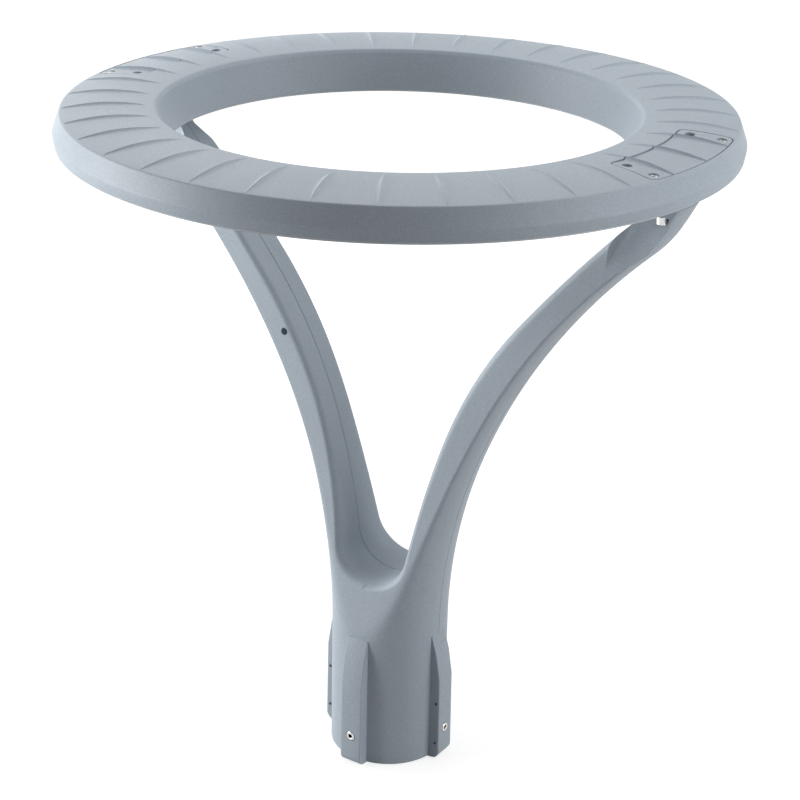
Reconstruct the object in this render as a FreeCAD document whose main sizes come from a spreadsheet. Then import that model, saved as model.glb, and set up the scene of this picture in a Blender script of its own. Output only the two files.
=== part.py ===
import FreeCAD, Part
import math
import os
import re

import Sketcher

# Ring-shaped LED street light head for the top of a post, in millimetres.
# Origin: centre of the sleeve's bottom face. +Z is up, the two arms lie in the XZ plane,
# and the front of the bracket faces -Y.

SIZES = (
    # ring casting
    ("ring_base", 513.0, "height of the ring's outer bottom edge"),
    ("ring_radius", 250.0, "widest radius of the ring"),
    ("ring_width", 80.0, "width of the ring from its widest radius to its eye"),
    ("ring_widest_height", 8.2, "height of the widest line above the bottom edge"),
    ("bottom_inset", 1.3, "how far the outer bottom edge lies inside the widest radius"),
    ("ring_bottom_radius", "ring_radius - bottom_inset", "radius of the outer bottom edge"),
    ("crease_inset", 5.3, "how far the crease lies inside the widest radius"),
    ("crease_radius", "ring_radius - crease_inset", "radius of the crease between outer wall and dome"),
    ("crease_height", 22.2, "height of the crease"),
    ("dome_lean", 1.15, "how far the dome's highest line lies inside its middle"),
    ("dome_mid_radius", "(crease_radius + eye_top_radius) / 2 - dome_lean",
     "radius of the dome's highest line"),
    ("dome_mid_height", 25.4, "height of the dome's highest line"),
    ("eye_top_step", 6.6, "how far the dome's inner edge lies outside the eye"),
    ("eye_top_radius", "eye_radius + eye_top_step", "radius where the dome turns into the inner wall"),
    ("eye_top_height", 23.6, "height where the dome turns into the inner wall"),
    ("eye_wall_step", 4.9, "how far the top of the inner wall lies outside the eye"),
    ("eye_wall_radius", "eye_radius + eye_wall_step", "radius of the top of the inner wall"),
    ("eye_wall_height", 21.6, "height of the top of the inner wall"),
    ("eye_radius", "ring_radius - ring_width", "radius of the inner bottom edge, the eye of the ring"),
    ("eye_drop", 8.8, "how far the inner bottom edge lies below the outer one"),
    ("roof_height", 19.5, "height of the flat underside of the roof"),
    ("chamber_outer_wall", 7.5, "wall between the lamp chamber and the widest radius"),
    ("cavity_outer_radius", "ring_radius - chamber_outer_wall", "outer radius of the lamp chamber"),
    ("chamber_inner_wall", 8.5, "wall between the eye and the lamp chamber"),
    ("cavity_inner_radius", "eye_radius + chamber_inner_wall", "inner radius of the lamp chamber"),
    ("lip_wall", 3.5, "wall of the inner lip beside the diffuser"),
    ("outer_lip_wall", 2.6, "wall of the outer lip beside the diffuser"),
    ("ledge_height", 3.0, "height of the diffuser's outer seat"),
    ("ledge_drop", 5.8, "drop of the diffuser's inner seat"),
    # radial ridges of the dome
    ("ridge_count", 36, "number of ridges round the ring"),
    ("ridge_top_radius", 139.0, "radius of the ridge's crest seen from the side"),
    ("ridge_top_height", 26.9, "height of the ridge's crest"),
    ("ridge_height", 1.5, "height of the crest above the dome"),
    ("ridge_half_width", 4.5, "half width of the ridge at its foot"),
    ("ridge_margin", 5.05, "gap between a ridge's end and the edge of the dome"),
    ("ridge_half_length", "(crease_radius - eye_top_radius) / 2 - ridge_margin",
     "half length of the ridge along the radius"),
    ("ridge_flank_share", 0.38, "share of the half width where a flank is hollow"),
    ("ridge_hollow_share", 0.325, "share of the height that a flank has there"),
    ("ridge_root", 2.0, "how far the ridge is rooted in the casting"),
    # junction covers and their pockets
    ("cover_inset", 8.0, "how far a junction cover lies inside the widest radius"),
    ("cover_width", 38.0, "width of a junction cover along the radius"),
    ("cover_outer_radius", "ring_radius - cover_inset", "outer edge of a junction cover"),
    ("cover_inner_radius", "cover_outer_radius - cover_width", "inner edge of a junction cover"),
    ("cover_half_angle", 15.0, "half angle of a junction cover, degrees"),
    ("cover_corner", 5.0, "corner radius of a junction cover"),
    ("cover_gap", 0.4, "gap round a junction cover"),
    ("cover_step", 1.0, "how far the cover's facets lie below the dome"),
    ("cover_seat_height", 18.5, "height of the cover's seat in the ring"),
    ("cover_gasket", 1.0, "thickness of the cover gasket"),
    ("cover_rim", 4.5, "width of the seat between a cover's edge and its pocket"),
    ("pocket_inner_radius", "cover_inner_radius + cover_rim", "inner wall of the junction pocket"),
    ("pocket_outer_radius", "cover_outer_radius - cover_rim", "outer wall of the junction pocket"),
    ("pocket_turn", 4.4, "angle between a cover's end and its pocket's, degrees"),
    ("pocket_half_angle", "cover_half_angle - pocket_turn", "half angle of the junction pocket, degrees"),
    ("pocket_floor_height", 6.0, "height of the pocket's floor"),
    ("tub_bottom_height", 3.0, "height of the underside of the pocket"),
    ("tub_wall", 3.5, "wall of the block round the pocket, inside the cover's edge"),
    ("tub_inner_radius", "cover_inner_radius - tub_wall", "inner radius of the block round the pocket"),
    ("tub_turn", 1.5, "angle that the block reaches past the cover, degrees"),
    ("tub_half_angle", "cover_half_angle + tub_turn", "half angle of the block round the pocket, degrees"),
    ("cover_screw_inner_edge", 9.0, "distance of the inner cover screws from the cover's inner edge"),
    ("cover_screw_inner_radius", "cover_inner_radius + cover_screw_inner_edge",
     "radius of the inner cover screws"),
    ("cover_screw_outer_edge", 6.5, "distance of the outer cover screws from the cover's outer edge"),
    ("cover_screw_outer_radius", "cover_outer_radius - cover_screw_outer_edge",
     "radius of the outer cover screws"),
    ("cover_screw_turn", 2.0, "angle between the cover screws and the cover's end, degrees"),
    ("cover_screw_angle", "cover_half_angle - cover_screw_turn",
     "angle of the cover screws from the arm, degrees"),
    ("cover_screw_head", 6.6, "head diameter of a cover screw"),
    ("cover_screw_shank", 3.2, "shank diameter of a cover screw"),
    ("cover_screw_length", 12.0, "length of a cover screw under its head"),
    ("cover_screw_head_height", 2.4, "head height of a cover screw"),
    ("cover_screw_socket", 2.5, "hexagon socket of a cover screw, across the flats"),
    ("cover_screw_inner_seat", 22.9, "height of the inner screws' seats"),
    ("cover_screw_outer_seat", 21.6, "height of the outer screws' seats"),
    # arms
    ("arm_top_drop", 9.0, "how far the arm's top lies below the ring's bottom edge"),
    ("arm_outer_knee_reach", 31.0, "shift of the arm's outer face at the knee"),
    ("arm_knee_share", 0.5316, "share of the ring's height where the arm's knee lies"),
    ("arm_outer_knee_height", "ring_base * arm_knee_share", "height of the knee of the outer face"),
    ("arm_hip_inset", 88.0, "how far the hip lies inside the ring's widest radius"),
    ("arm_outer_hip_reach", "ring_radius - arm_hip_inset",
     "shift of the outer face where it turns upright"),
    ("arm_outer_hip_drop", 50.3, "drop below the ring's edge where it turns upright"),
    ("arm_neck_inset", 70.4, "how far the neck lies inside the ring's widest radius"),
    ("arm_outer_neck_reach", "ring_radius - arm_neck_inset", "shift of the outer face at the neck"),
    ("arm_outer_neck_drop", 28.0, "drop of the neck below the ring's edge"),
    ("neck_slope", 0.532, "slope of the outer face at the neck, mm per mm of height"),
    ("crotch_step", 53.0, "height of the gap between the arms above the sleeve's seam"),
    ("crotch_height", "seam_height + crotch_step", "height of the bottom of the gap between the arms"),
    ("arm_inner_foot_reach", 30.9, "reach of the inner face just above the crotch"),
    ("arm_foot_step", 26.9, "height of the inner face's foot above the crotch"),
    ("arm_inner_foot_height", "crotch_height + arm_foot_step",
     "height of the inner face just above the crotch"),
    ("arm_knee_step", 19.8,
     "distance between the knee's inner face and the sleeve's axis moved to the knee"),
    ("arm_inner_knee_reach", "arm_outer_knee_reach + arm_knee_step", "reach of the inner face at the knee"),
    ("arm_elbow_share", 0.5312, "share of the top's reach that the inner face has at mid height"),
    ("arm_inner_elbow_reach", "arm_inner_top_reach * arm_elbow_share",
     "reach of the inner face at mid height"),
    ("arm_top_inset", 35.4, "how far the arm's inner top lies inside the ring's widest radius"),
    ("arm_inner_top_reach", "ring_radius - arm_top_inset", "reach of the inner face at the arm's top"),
    ("arm_mid_share", 0.7655, "share of the ring's height where the arm's mid point lies"),
    ("arm_mid_height", "ring_base * arm_mid_share", "height of the arm's mid point"),
    ("arm_half_depth_top", 18.0, "half depth of the arm, front to back, at its top"),
    ("arm_half_depth_mid", 20.0, "half depth of the arm at mid height"),
    ("arm_half_depth_knee", 19.6, "half depth of the arm where the flare starts"),
    ("flare_share", 0.6096, "share of the ring's height where the flare starts"),
    ("flare_start_height", "ring_base * flare_share", "height where the flare starts"),
    ("flare_stand", 3.2, "how far the flare's tip lies outside the sleeve"),
    ("flare_tip_reach", "sleeve_radius + flare_stand", "reach of the flare's tip from the axis"),
    ("flare_tip_step", 1.4, "how far the flare's tip lies below the seam"),
    ("flare_tip_height", "seam_height - flare_tip_step", "height of the flare's tip"),
    ("duct_width", 13.0, "width of the cable duct in an arm"),
    ("duct_half_depth", 12.0, "half depth of the cable duct, front to back"),
    ("duct_start_step", 3.0, "how far the duct's start lies inside the bore's wall"),
    ("duct_start_reach", "bore_diameter / 2 - duct_start_step",
     "reach of the duct where it leaves the bore"),
    ("duct_start_drop", 12.0, "how far below the bore's end the duct starts"),
    ("duct_start_rise", 4.0, "how far above the bore's end the duct starts to bend"),
    ("duct_foot_reach", 41.8, "reach of the duct just above the crotch"),
    ("duct_knee_reach", "(arm_outer_knee_reach + sleeve_radius + arm_inner_knee_reach) / 2",
     "reach of the duct at the knee"),
    ("duct_elbow_share", 0.6005, "share of the top's reach that the duct has at mid height"),
    ("duct_elbow_reach", "duct_top_reach * duct_elbow_share", "reach of the duct at mid height"),
    ("duct_hip_step", 23.5, "how far the duct's hip lies inside its end"),
    ("duct_hip_reach", "duct_top_reach - duct_hip_step", "reach of the duct where it turns upright"),
    ("duct_inset", 33.5, "how far the duct's end lies inside the ring's widest radius"),
    ("duct_top_reach", "ring_radius - duct_inset", "reach of the duct's end"),
    ("duct_roof", 12.5, "solid metal between the duct and the arm's top"),
    ("duct_top_drop", "arm_top_drop + duct_roof", "drop of the duct's end below the ring's edge"),
    ("arm_hole", 6.0, "diameter of the drilled hole in the left arm's front face"),
    ("arm_hole_reach", 91.0, "distance of the drilled hole from the axis"),
    ("arm_hole_share", 0.6719, "share of the ring's height where the drilled hole lies"),
    ("arm_hole_height", "ring_base * arm_hole_share", "height of the drilled hole"),
    ("arm_hole_depth", 6.0, "depth of the drilled hole"),
    # sleeve
    ("sleeve_wall", 6.8, "wall of the sleeve"),
    ("sleeve_radius", "bore_diameter / 2 + sleeve_wall", "outer radius of the sleeve"),
    ("arm_start_step", 9.7, "height above the seam where the arms start to spread"),
    ("sleeve_top_height", "seam_height + arm_start_step", "height where the arms start to spread"),
    ("bore_diameter", 80.0, "bore of the sleeve, for a post of 76 mm"),
    ("bore_depth", 96.0, "depth of the bore"),
    ("sleeve_roof", 7.0, "solid metal between the bore's end and the seam"),
    ("seam_height", "bore_depth + sleeve_roof", "height where the rear cover starts"),
    ("pad_width", 18.8, "width of a set screw pad"),
    ("pad_stand", 8.7, "how far a pad's face stands out of the sleeve at the bottom"),
    ("pad_reach", "sleeve_radius + pad_stand", "reach of the pad's face at the bottom"),
    ("pad_root", 3.0, "how far a pad is rooted in the sleeve"),
    ("pad_shoulder_stand", 8.0, "how far the pad's shoulder stands out of the sleeve"),
    ("pad_shoulder_reach", "sleeve_radius + pad_shoulder_stand", "reach of the pad's shoulder"),
    ("pad_shoulder_height", 73.0, "height of the pad's shoulder"),
    ("pad_taper_stand", 4.5, "how far the pad stands out where its taper steepens"),
    ("pad_taper_reach", "sleeve_radius + pad_taper_stand", "reach of the pad where its taper steepens"),
    ("pad_taper_height", 95.0, "height where the pad's taper steepens"),
    ("pad_tip_step", 9.0, "how far a pad reaches above the seam"),
    ("pad_tip_height", "seam_height + pad_tip_step", "height of the pad's tip"),
    ("set_screw_height", 26.5, "height of the set screws"),
    ("set_screw_diameter", 8.0, "nominal diameter of a set screw, M8"),
    ("set_screw_length", "pad_reach - bore_diameter / 2", "length of a set screw"),
    ("set_screw_proud", 0.6, "how far a set screw stands out of its pad"),
    ("set_screw_socket", 4.0, "hexagon socket of a set screw, across the flats"),
    ("pin_hole", 2.6, "diameter of the pin holes in the side of a pad"),
    ("pin_hole_stand", 5.2, "distance of the pin holes from the sleeve's outside"),
    ("pin_hole_reach", "sleeve_radius + pin_hole_stand", "distance of the pin holes from the axis"),
    ("pin_hole_low", 14.5, "height of the lower pin hole"),
    ("pin_hole_high", 51.5, "height of the upper pin hole"),
    ("pin_hole_depth", 4.0, "depth of the pin holes"),
    # joint between arm and ring
    ("boss_inset", 42.0, "how far the boss's inner side lies inside the ring's widest radius"),
    ("boss_inner_reach", "ring_radius - boss_inset", "inner side of the boss under the ring"),
    ("boss_overlap", 0.5, "how far the boss is rooted in the block above"),
    ("cap_screw_inset", 30.0, "how far the cap screws lie inside the ring's widest radius"),
    ("cap_screw_reach", "ring_radius - cap_screw_inset", "distance of the cap screws from the axis"),
    ("cap_screw_edge", 4.5, "distance of the cap screws from the arm's front or rear face"),
    ("cap_screw_offset", "arm_half_depth_top - cap_screw_edge",
     "distance of the cap screws from the mid plane"),
    ("cap_screw_diameter", 5.0, "nominal diameter of the cap screws, M5"),
    ("cap_screw_head", 8.5, "head diameter of the cap screws"),
    ("cap_screw_head_height", 5.0, "head height of the cap screws"),
    ("cap_screw_length", 14.0, "length of a cap screw under its head"),
    ("cap_screw_socket", 4.0, "hexagon socket of a cap screw, across the flats"),
    ("cap_washer_diameter", 10.0, "outer diameter of the cap screw's washer"),
    ("cap_washer", 1.0, "thickness of the washer"),
    ("scoop_radius", 5.7, "radius of the scoop round a cap screw's head"),
    ("scoop_roof", 7.0, "metal between the scoop and the arm's top"),
    ("scoop_top_drop", "arm_top_drop + scoop_roof", "how far the scoop's roof lies below the ring's edge"),
    ("scoop_height", 10.5, "height of the scoop"),
    ("wire_hole_inset", 31.5, "how far the wire hole lies inside the ring's widest radius"),
    ("wire_hole_reach", "ring_radius - wire_hole_inset", "distance of the wire hole from the axis"),
    ("wire_hole_run", 3.0, "how far the wire hole runs into the duct"),
    ("wire_hole", 9.0, "diameter of the wire hole"),
    # rear cover screws
    ("rear_screw_offset", 13.0, "distance of a rear screw from the mid line"),
    ("rear_screw_step", 25.0, "height of the rear screws above the sleeve's seam"),
    ("rear_screw_height", "seam_height + rear_screw_step", "height of the rear screws"),
    ("rear_screw_seat", 8.0, "distance of the head's seat from the seam"),
    ("rear_screw_diameter", 5.0, "nominal diameter of the rear screws, M5"),
    ("rear_screw_head", 8.5, "head diameter of the rear screws"),
    ("rear_screw_head_height", 5.0, "head height of the rear screws"),
    ("rear_screw_length", 18.0, "length of a rear screw under its head"),
    ("rear_screw_bore", 9.5, "bore for a rear screw's head"),
    # diffuser
    ("diffuser_gap", 0.6, "gap between the diffuser and the lips beside it"),
    ("diffuser_thickness", 3.0, "thickness of the diffuser"),
    ("diffuser_drop", 2.0, "how far the diffuser shows below the lips"),
    ("diffuser_bulge", 3.5, "how far the diffuser bulges down between its edges"),
    ("diffuser_gasket", 1.0, "thickness of the diffuser's gaskets"),
    ("diffuser_notch", 1.5, "gap between the diffuser and the boss of an arm"),
    # lamp chamber
    ("board_edge", 7.0, "gap between an LED board and the walls of the lamp chamber"),
    ("board_inner_radius", "cavity_inner_radius + board_edge", "inner radius of an LED board"),
    ("board_outer_radius", "cavity_outer_radius - board_edge", "outer radius of an LED board"),
    ("board_gap_angle", 1.0, "half the angle between two boards, degrees"),
    ("board_tub_angle", 2.5, "angle between a board and the block round a pocket, degrees"),
    ("board_half_angle", "(90 - board_gap_angle - tub_half_angle - board_tub_angle) / 2",
     "half angle of an LED board, degrees"),
    ("board_angle", "90 - board_gap_angle - board_half_angle",
     "angle of the board's middle from the arm, degrees"),
    ("board_thickness", 1.6, "thickness of an LED board"),
    ("chip_size", 3.5, "side of an LED package"),
    ("chip_height", 0.8, "height of an LED package"),
    ("chip_edge", 12.0, "distance of a row of LED packages from the board's edge"),
    ("chip_inner_radius", "board_inner_radius + chip_edge", "radius of the inner row of LED packages"),
    ("chip_outer_radius", "board_outer_radius - chip_edge", "radius of the outer row of LED packages"),
    ("chip_count", 9, "LED packages in a row of one board"),
    ("chip_turn", 6.2, "angle between a board's end and its last LED packages, degrees"),
    ("chip_pitch_angle", "2 * (board_half_angle - chip_turn) / (chip_count - 1)",
     "angle between LED packages, degrees"),
    ("board_screw_radius", "(board_inner_radius + board_outer_radius) / 2", "radius of the board screws"),
    ("board_screw_turn", 5.0, "angle between a board's end and its screw, degrees"),
    ("board_screw_angle", "board_half_angle - board_screw_turn",
     "angle of a board screw from the board's middle"),
    ("board_screw_head", 5.5, "head diameter of a board screw"),
    ("board_screw_diameter", 3.0, "shank diameter of a board screw"),
    ("board_screw_length", 5.0, "length of a board screw under its head"),
    ("board_screw_head_height", 1.8, "head height of a board screw"),
    ("board_screw_socket", 2.0, "hexagon socket of a board screw, across the flats"),
    # inside the junction pockets
    ("driver_length", 62.0, "length of the LED driver"),
    ("driver_gap", 3.0, "gap between the LED driver and the pocket's walls"),
    ("driver_width", "pocket_outer_radius - pocket_inner_radius - 2 * driver_gap",
     "width of the LED driver"),
    ("driver_height", 10.0, "height of the LED driver"),
    ("driver_reach", "(pocket_inner_radius + pocket_outer_radius) / 2",
     "distance of the LED driver from the axis"),
    ("terminal_length", 26.0, "length of the terminal block"),
    ("terminal_width", 14.0, "width of the terminal block"),
    ("terminal_height", 10.0, "height of the terminal block"),
    ("terminal_reach", "(pocket_inner_radius + pocket_outer_radius) / 2",
     "distance of the terminal block from the axis"),
    ("terminal_start", 8.5, "distance of the terminal block from the mid plane"),
    ("terminal_hole", 3.6, "diameter of a terminal's screw well"),
    ("terminal_ways", 4, "ways of the terminal block"),
    ("grommet_wall", 1.6, "wall of a wire grommet"),
    ("grommet_flange", 12.5, "flange diameter of a wire grommet"),
    ("grommet_flange_thickness", 1.2, "flange thickness of a wire grommet"),
    ("clearance", 0.25, "clearance between parts that slide together"),
    ("root", 1.0, "how far one form of a casting is rooted in the next"),
    ("tap_runout", 1.0, "how far a tapped hole goes past its screw"),
    ("overrun", 20.0, "how far a cut runs past the casting"),
    ("head_edge_share", 0.3, "share of a screw head's height that its bevel takes"),
    ("tip_share", 0.1, "share of a screw's diameter that its tip's bevel takes"),
    ("socket_share", 0.6, "share of a screw head's height that its socket takes"),
)

doc = FreeCAD.newDocument("RingLuminaire")
sheet = doc.addObject("Spreadsheet::Sheet", "Sizes")
for row, (word, value, meaning) in enumerate(SIZES, start=1):
    sheet.set(f"A{row}", meaning)
    sheet.setAlias(f"B{row}", word)
for row, (word, value, meaning) in enumerate(SIZES, start=1):
    sheet.set(f"B{row}", "=" + value if isinstance(value, str) else str(value))
doc.recompute()
WORDS = {word for word, value, meaning in SIZES}


def size(text):
    """Returns the value of a size, or of an expression made of sizes."""
    return float(sheet.evalExpression(text))


def bound(text):
    """Puts the sheet's name before each size of an expression."""
    return re.sub(r"[a-z_]+", lambda found: "Sizes." + found[0] if found[0] in WORDS else found[0], text)


def new_body(name, turned=0.0):
    """Starts a sub-part, turned about the ring's axis by the given degrees."""
    body = doc.addObject("PartDesign::Body", name)
    body.Label = name
    body.Placement = FreeCAD.Placement(FreeCAD.Vector(), FreeCAD.Rotation(FreeCAD.Vector(0, 0, 1), turned))
    return body


def origin_part(body, role):
    """Finds a plane or axis of the body's own origin."""
    return next(part for part in body.Origin.OriginFeatures if part.Role == role)


def new_sketch(body, name, plane, offset="0"):
    """Attaches a sketch to an origin plane of the body, moved along its normal by an offset."""
    sketch = body.newObject("Sketcher::SketchObject", name)
    sketch.AttachmentSupport = [(origin_part(body, plane), "")]
    sketch.MapMode = "FlatFace"
    if offset != "0":
        sketch.setExpression("AttachmentOffset.Base.z", bound(offset))
    return sketch


def pin(sketch, geometry, end, across, up):
    """Ties a point of the sketch to its two coordinates."""
    for kind, text, axis in (("DistanceX", across, -2), ("DistanceY", up, -1)):
        if abs(size(text)) < 1e-9:
            sketch.addConstraint(Sketcher.Constraint("PointOnObject", geometry, end, axis))
            continue
        number = sketch.addConstraint(Sketcher.Constraint(kind, -1, 1, geometry, end, size(text)))
        sketch.setExpression(f"Constraints[{number}]", bound(text))


def arc_between(start, middle, end):
    """Returns an arc drawn anticlockwise, and which of its ends is the start."""
    centre = Part.Circle(start, middle, end).Center
    spokes = [start - centre, end - centre]
    begin = 1
    if (middle - start).cross(end - middle).z < 0:
        spokes.reverse()
        begin = 2
    angles = [math.atan2(spoke.y, spoke.x) for spoke in spokes]
    if angles[1] < angles[0]:
        angles[1] += 2 * math.pi
    rim = Part.Circle(centre, FreeCAD.Vector(0, 0, 1), spokes[0].Length)
    return Part.ArcOfCircle(rim, angles[0], angles[1]), begin


def tangent_middle(start, direction, end):
    """Finds a point on the arc that leaves start along direction and ends at end."""
    chord = end - start
    side = FreeCAD.Vector(-direction.y, direction.x, 0)
    across = chord.dot(side)
    radius = chord.dot(chord) / (2 * across)
    centre = start + side * radius
    spread = (start - centre) + (end - centre)
    return centre + spread.normalize() * abs(radius)


def outline(sketch, corners, closed=True):
    """Draws lines and arcs from corner to corner, each corner held by expressions.

    A corner (x, y) is reached by a line, (x, y, "tangent") by an arc that leaves the line or arc
    before it smoothly, and (x, y, via_x, via_y) by an arc through a third point.
    """
    steps = [corners[number % len(corners)] for number in range(1, len(corners) + (1 if closed else 0))]
    start = FreeCAD.Vector(size(corners[0][0]), size(corners[0][1]), 0)
    first = None
    last = None
    heading = None
    for corner in steps:
        end = FreeCAD.Vector(size(corner[0]), size(corner[1]), 0)
        smooth = corner[2:] == ("tangent",)
        if len(corner) == 2:
            geometry = sketch.addGeometry(Part.LineSegment(start, end))
            begin = 1
            heading = (end - start).normalize()
        else:
            if smooth:
                middle = tangent_middle(start, heading, end)
            else:
                middle = FreeCAD.Vector(size(corner[2]), size(corner[3]), 0)
            arc, begin = arc_between(start, middle, end)
            geometry = sketch.addGeometry(arc)
            centre = sketch.Geometry[geometry].Center
            spoke = (end - centre).normalize()
            heading = FreeCAD.Vector(-spoke.y, spoke.x, 0) * (1 if begin == 1 else -1)
            if not smooth:
                point = sketch.addGeometry(Part.Point(middle), True)
                pin(sketch, point, 1, corner[2], corner[3])
                sketch.addConstraint(Sketcher.Constraint("PointOnObject", point, 1, geometry))
        if last is None:
            first = (geometry, begin)
            pin(sketch, geometry, begin, corners[0][0], corners[0][1])
        elif smooth:
            sketch.addConstraint(Sketcher.Constraint("Tangent", last[0], last[1], geometry, begin))
        else:
            sketch.addConstraint(Sketcher.Constraint("Coincident", last[0], last[1], geometry, begin))
        last = (geometry, 3 - begin)
        if closed and corner is corners[0]:
            sketch.addConstraint(Sketcher.Constraint("Coincident", last[0], last[1], *first))
        else:
            pin(sketch, geometry, 3 - begin, corner[0], corner[1])
        start = end
    return sketch


def circle(sketch, across, up, diameter):
    """Draws a circle whose centre and diameter are held by expressions."""
    middle = FreeCAD.Vector(size(across), size(up), 0)
    geometry = sketch.addGeometry(Part.Circle(middle, FreeCAD.Vector(0, 0, 1), size(diameter) / 2))
    pin(sketch, geometry, 3, across, up)
    number = sketch.addConstraint(Sketcher.Constraint("Diameter", geometry, size(diameter)))
    sketch.setExpression(f"Constraints[{number}]", bound(diameter))
    return sketch


def hexagon(sketch, across, up, flats):
    """Draws a regular hexagon round a point, by its width across the flats."""
    corner = f"({flats}) / sqrt(3)"
    points = []
    for step in range(6):
        angle = 60 * step
        points.append((f"({across}) + ({corner}) * cos({angle})", f"({up}) + ({corner}) * sin({angle})"))
    return outline(sketch, points)


def feature(body, kind, name, sketch=None, sizes=None, **settings):
    """Adds a PartDesign feature, its sizes bound to the sheet."""
    made = body.newObject("PartDesign::" + kind, name)
    if sketch is not None:
        made.Profile = sketch
    for key, value in settings.items():
        setattr(made, key, value)
    for key, text in (sizes or {}).items():
        made.setExpression(key, bound(text))
    body.Tip = made
    return made


def turned(body, name, sketch, additive=True, angle=None, axis="V_Axis"):
    """Revolves a sketch about one of its axes: all the way, or evenly to both sides by an angle."""
    made = feature(body, "Revolution" if additive else "Groove", name, sketch, ReferenceAxis=(sketch, [axis]))
    if angle is None:
        made.Angle = 360
    else:
        made.Midplane = True
        made.setExpression("Angle", bound(angle))
    return made


def ring_of(body, name, source, count):
    """Repeats a feature round the Z axis."""
    made = body.newObject("PartDesign::PolarPattern", name)
    made.Originals = [source]
    made.Axis = (origin_part(body, "Z_Axis"), [""])
    made.Angle = 360
    made.setExpression("Occurrences", bound(count))
    body.Tip = made
    return made


def mirror_of(body, name, sources, plane="YZ_Plane"):
    """Mirrors features across an origin plane of the body."""
    made = body.newObject("PartDesign::Mirrored", name)
    made.Originals = sources
    made.MirrorPlane = (origin_part(body, plane), [""])
    body.Tip = made
    return made


def polar(radius, angle):
    """Returns the two coordinates of a point given by radius and angle, as expressions."""
    return (f"({radius}) * cos({angle})", f"({radius}) * sin({angle})")


def cover_outline(sketch, inner, outer, half_angle, shrink):
    """Draws a ring sector with rounded corners, made smaller all round by a gap."""
    inner = f"({inner} + {shrink})"
    outer = f"({outer} - {shrink})"
    bend = "cover_corner"
    inner_turn = f"({half_angle} - ({bend} + {shrink}) / {inner} * 180 / pi)"
    outer_turn = f"({half_angle} - ({bend} + {shrink}) / {outer} * 180 / pi)"
    inner_side = f"({half_angle} - {shrink} / {inner} * 180 / pi)"
    outer_side = f"({half_angle} - {shrink} / {outer} * 180 / pi)"
    shoulder = f"({bend} * (1 - sqrt(0.5)))"
    inner_bend = (f"({half_angle} - ({shoulder} + {shrink}) / {inner} * 180 / pi)", f"({inner} + {shoulder})")
    outer_bend = (f"({half_angle} - ({shoulder} + {shrink}) / {outer} * 180 / pi)", f"({outer} - {shoulder})")
    corners = [
        polar(inner, "-" + inner_turn),
        polar(inner, inner_turn) + (inner, "0"),
        polar(f"({inner} + {bend})", inner_side) + polar(inner_bend[1], inner_bend[0]),
        polar(f"({outer} - {bend})", outer_side),
        polar(outer, outer_turn) + polar(outer_bend[1], outer_bend[0]),
        polar(outer, "-" + outer_turn) + (outer, "0"),
        polar(f"({outer} - {bend})", "-" + outer_side) + polar(outer_bend[1], "-" + outer_bend[0]),
        polar(f"({inner} + {bend})", "-" + inner_side),
    ]
    corners[0] = corners[0] + polar(inner_bend[1], "-" + inner_bend[0])
    return outline(sketch, corners)


def neck_reach(height):
    """Gives the shift of the arm's outer face at a height at or above its neck."""
    return f"(arm_outer_neck_reach + neck_slope * ({height} - ring_base + arm_outer_neck_drop))"


# Ring casting: a dome with radial ridges, open underneath, with a pocket over each arm.
def ridge(body, name, extra="0"):
    """Adds one radial ridge at the arm's azimuth: two hollow flanks that meet in a sharp crest.

    The crest is the same everywhere, and the extra is how much lower the foot lies.
    """
    sketch = new_sketch(body, name + "_section", "YZ_Plane", "dome_mid_radius")
    top = "ring_base + ridge_top_height"
    rise = f"(ridge_height + {extra})"
    foot = f"{top} - {rise}"
    half = "ridge_half_width"
    flank = f"{half} * ridge_flank_share"
    hollow = f"{foot} + {rise} * ridge_hollow_share"
    outline(sketch, [
        (f"-{half}", f"{foot} - ridge_root + {extra}"),
        (half, f"{foot} - ridge_root + {extra}"),
        (half, foot),
        ("0", top, flank, hollow),
        (f"-{half}", foot, f"-{flank}", hollow),
    ])
    middle = f"{top} - ridge_top_radius"
    ends = [FreeCAD.Vector(size(x), size(middle), 0) for x in (f"-{half}", half)]
    axle = sketch.addGeometry(Part.LineSegment(*ends), True)
    pin(sketch, axle, 1, f"-{half}", middle)
    pin(sketch, axle, 2, half, middle)
    span = "2 * asin(ridge_half_length / ridge_top_radius)"
    return turned(body, name, sketch, angle=span, axis="Axis0")


BOARD_MIDDLES = ("board_angle", "(180 - board_angle)", "(180 + board_angle)", "(-board_angle)")


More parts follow.
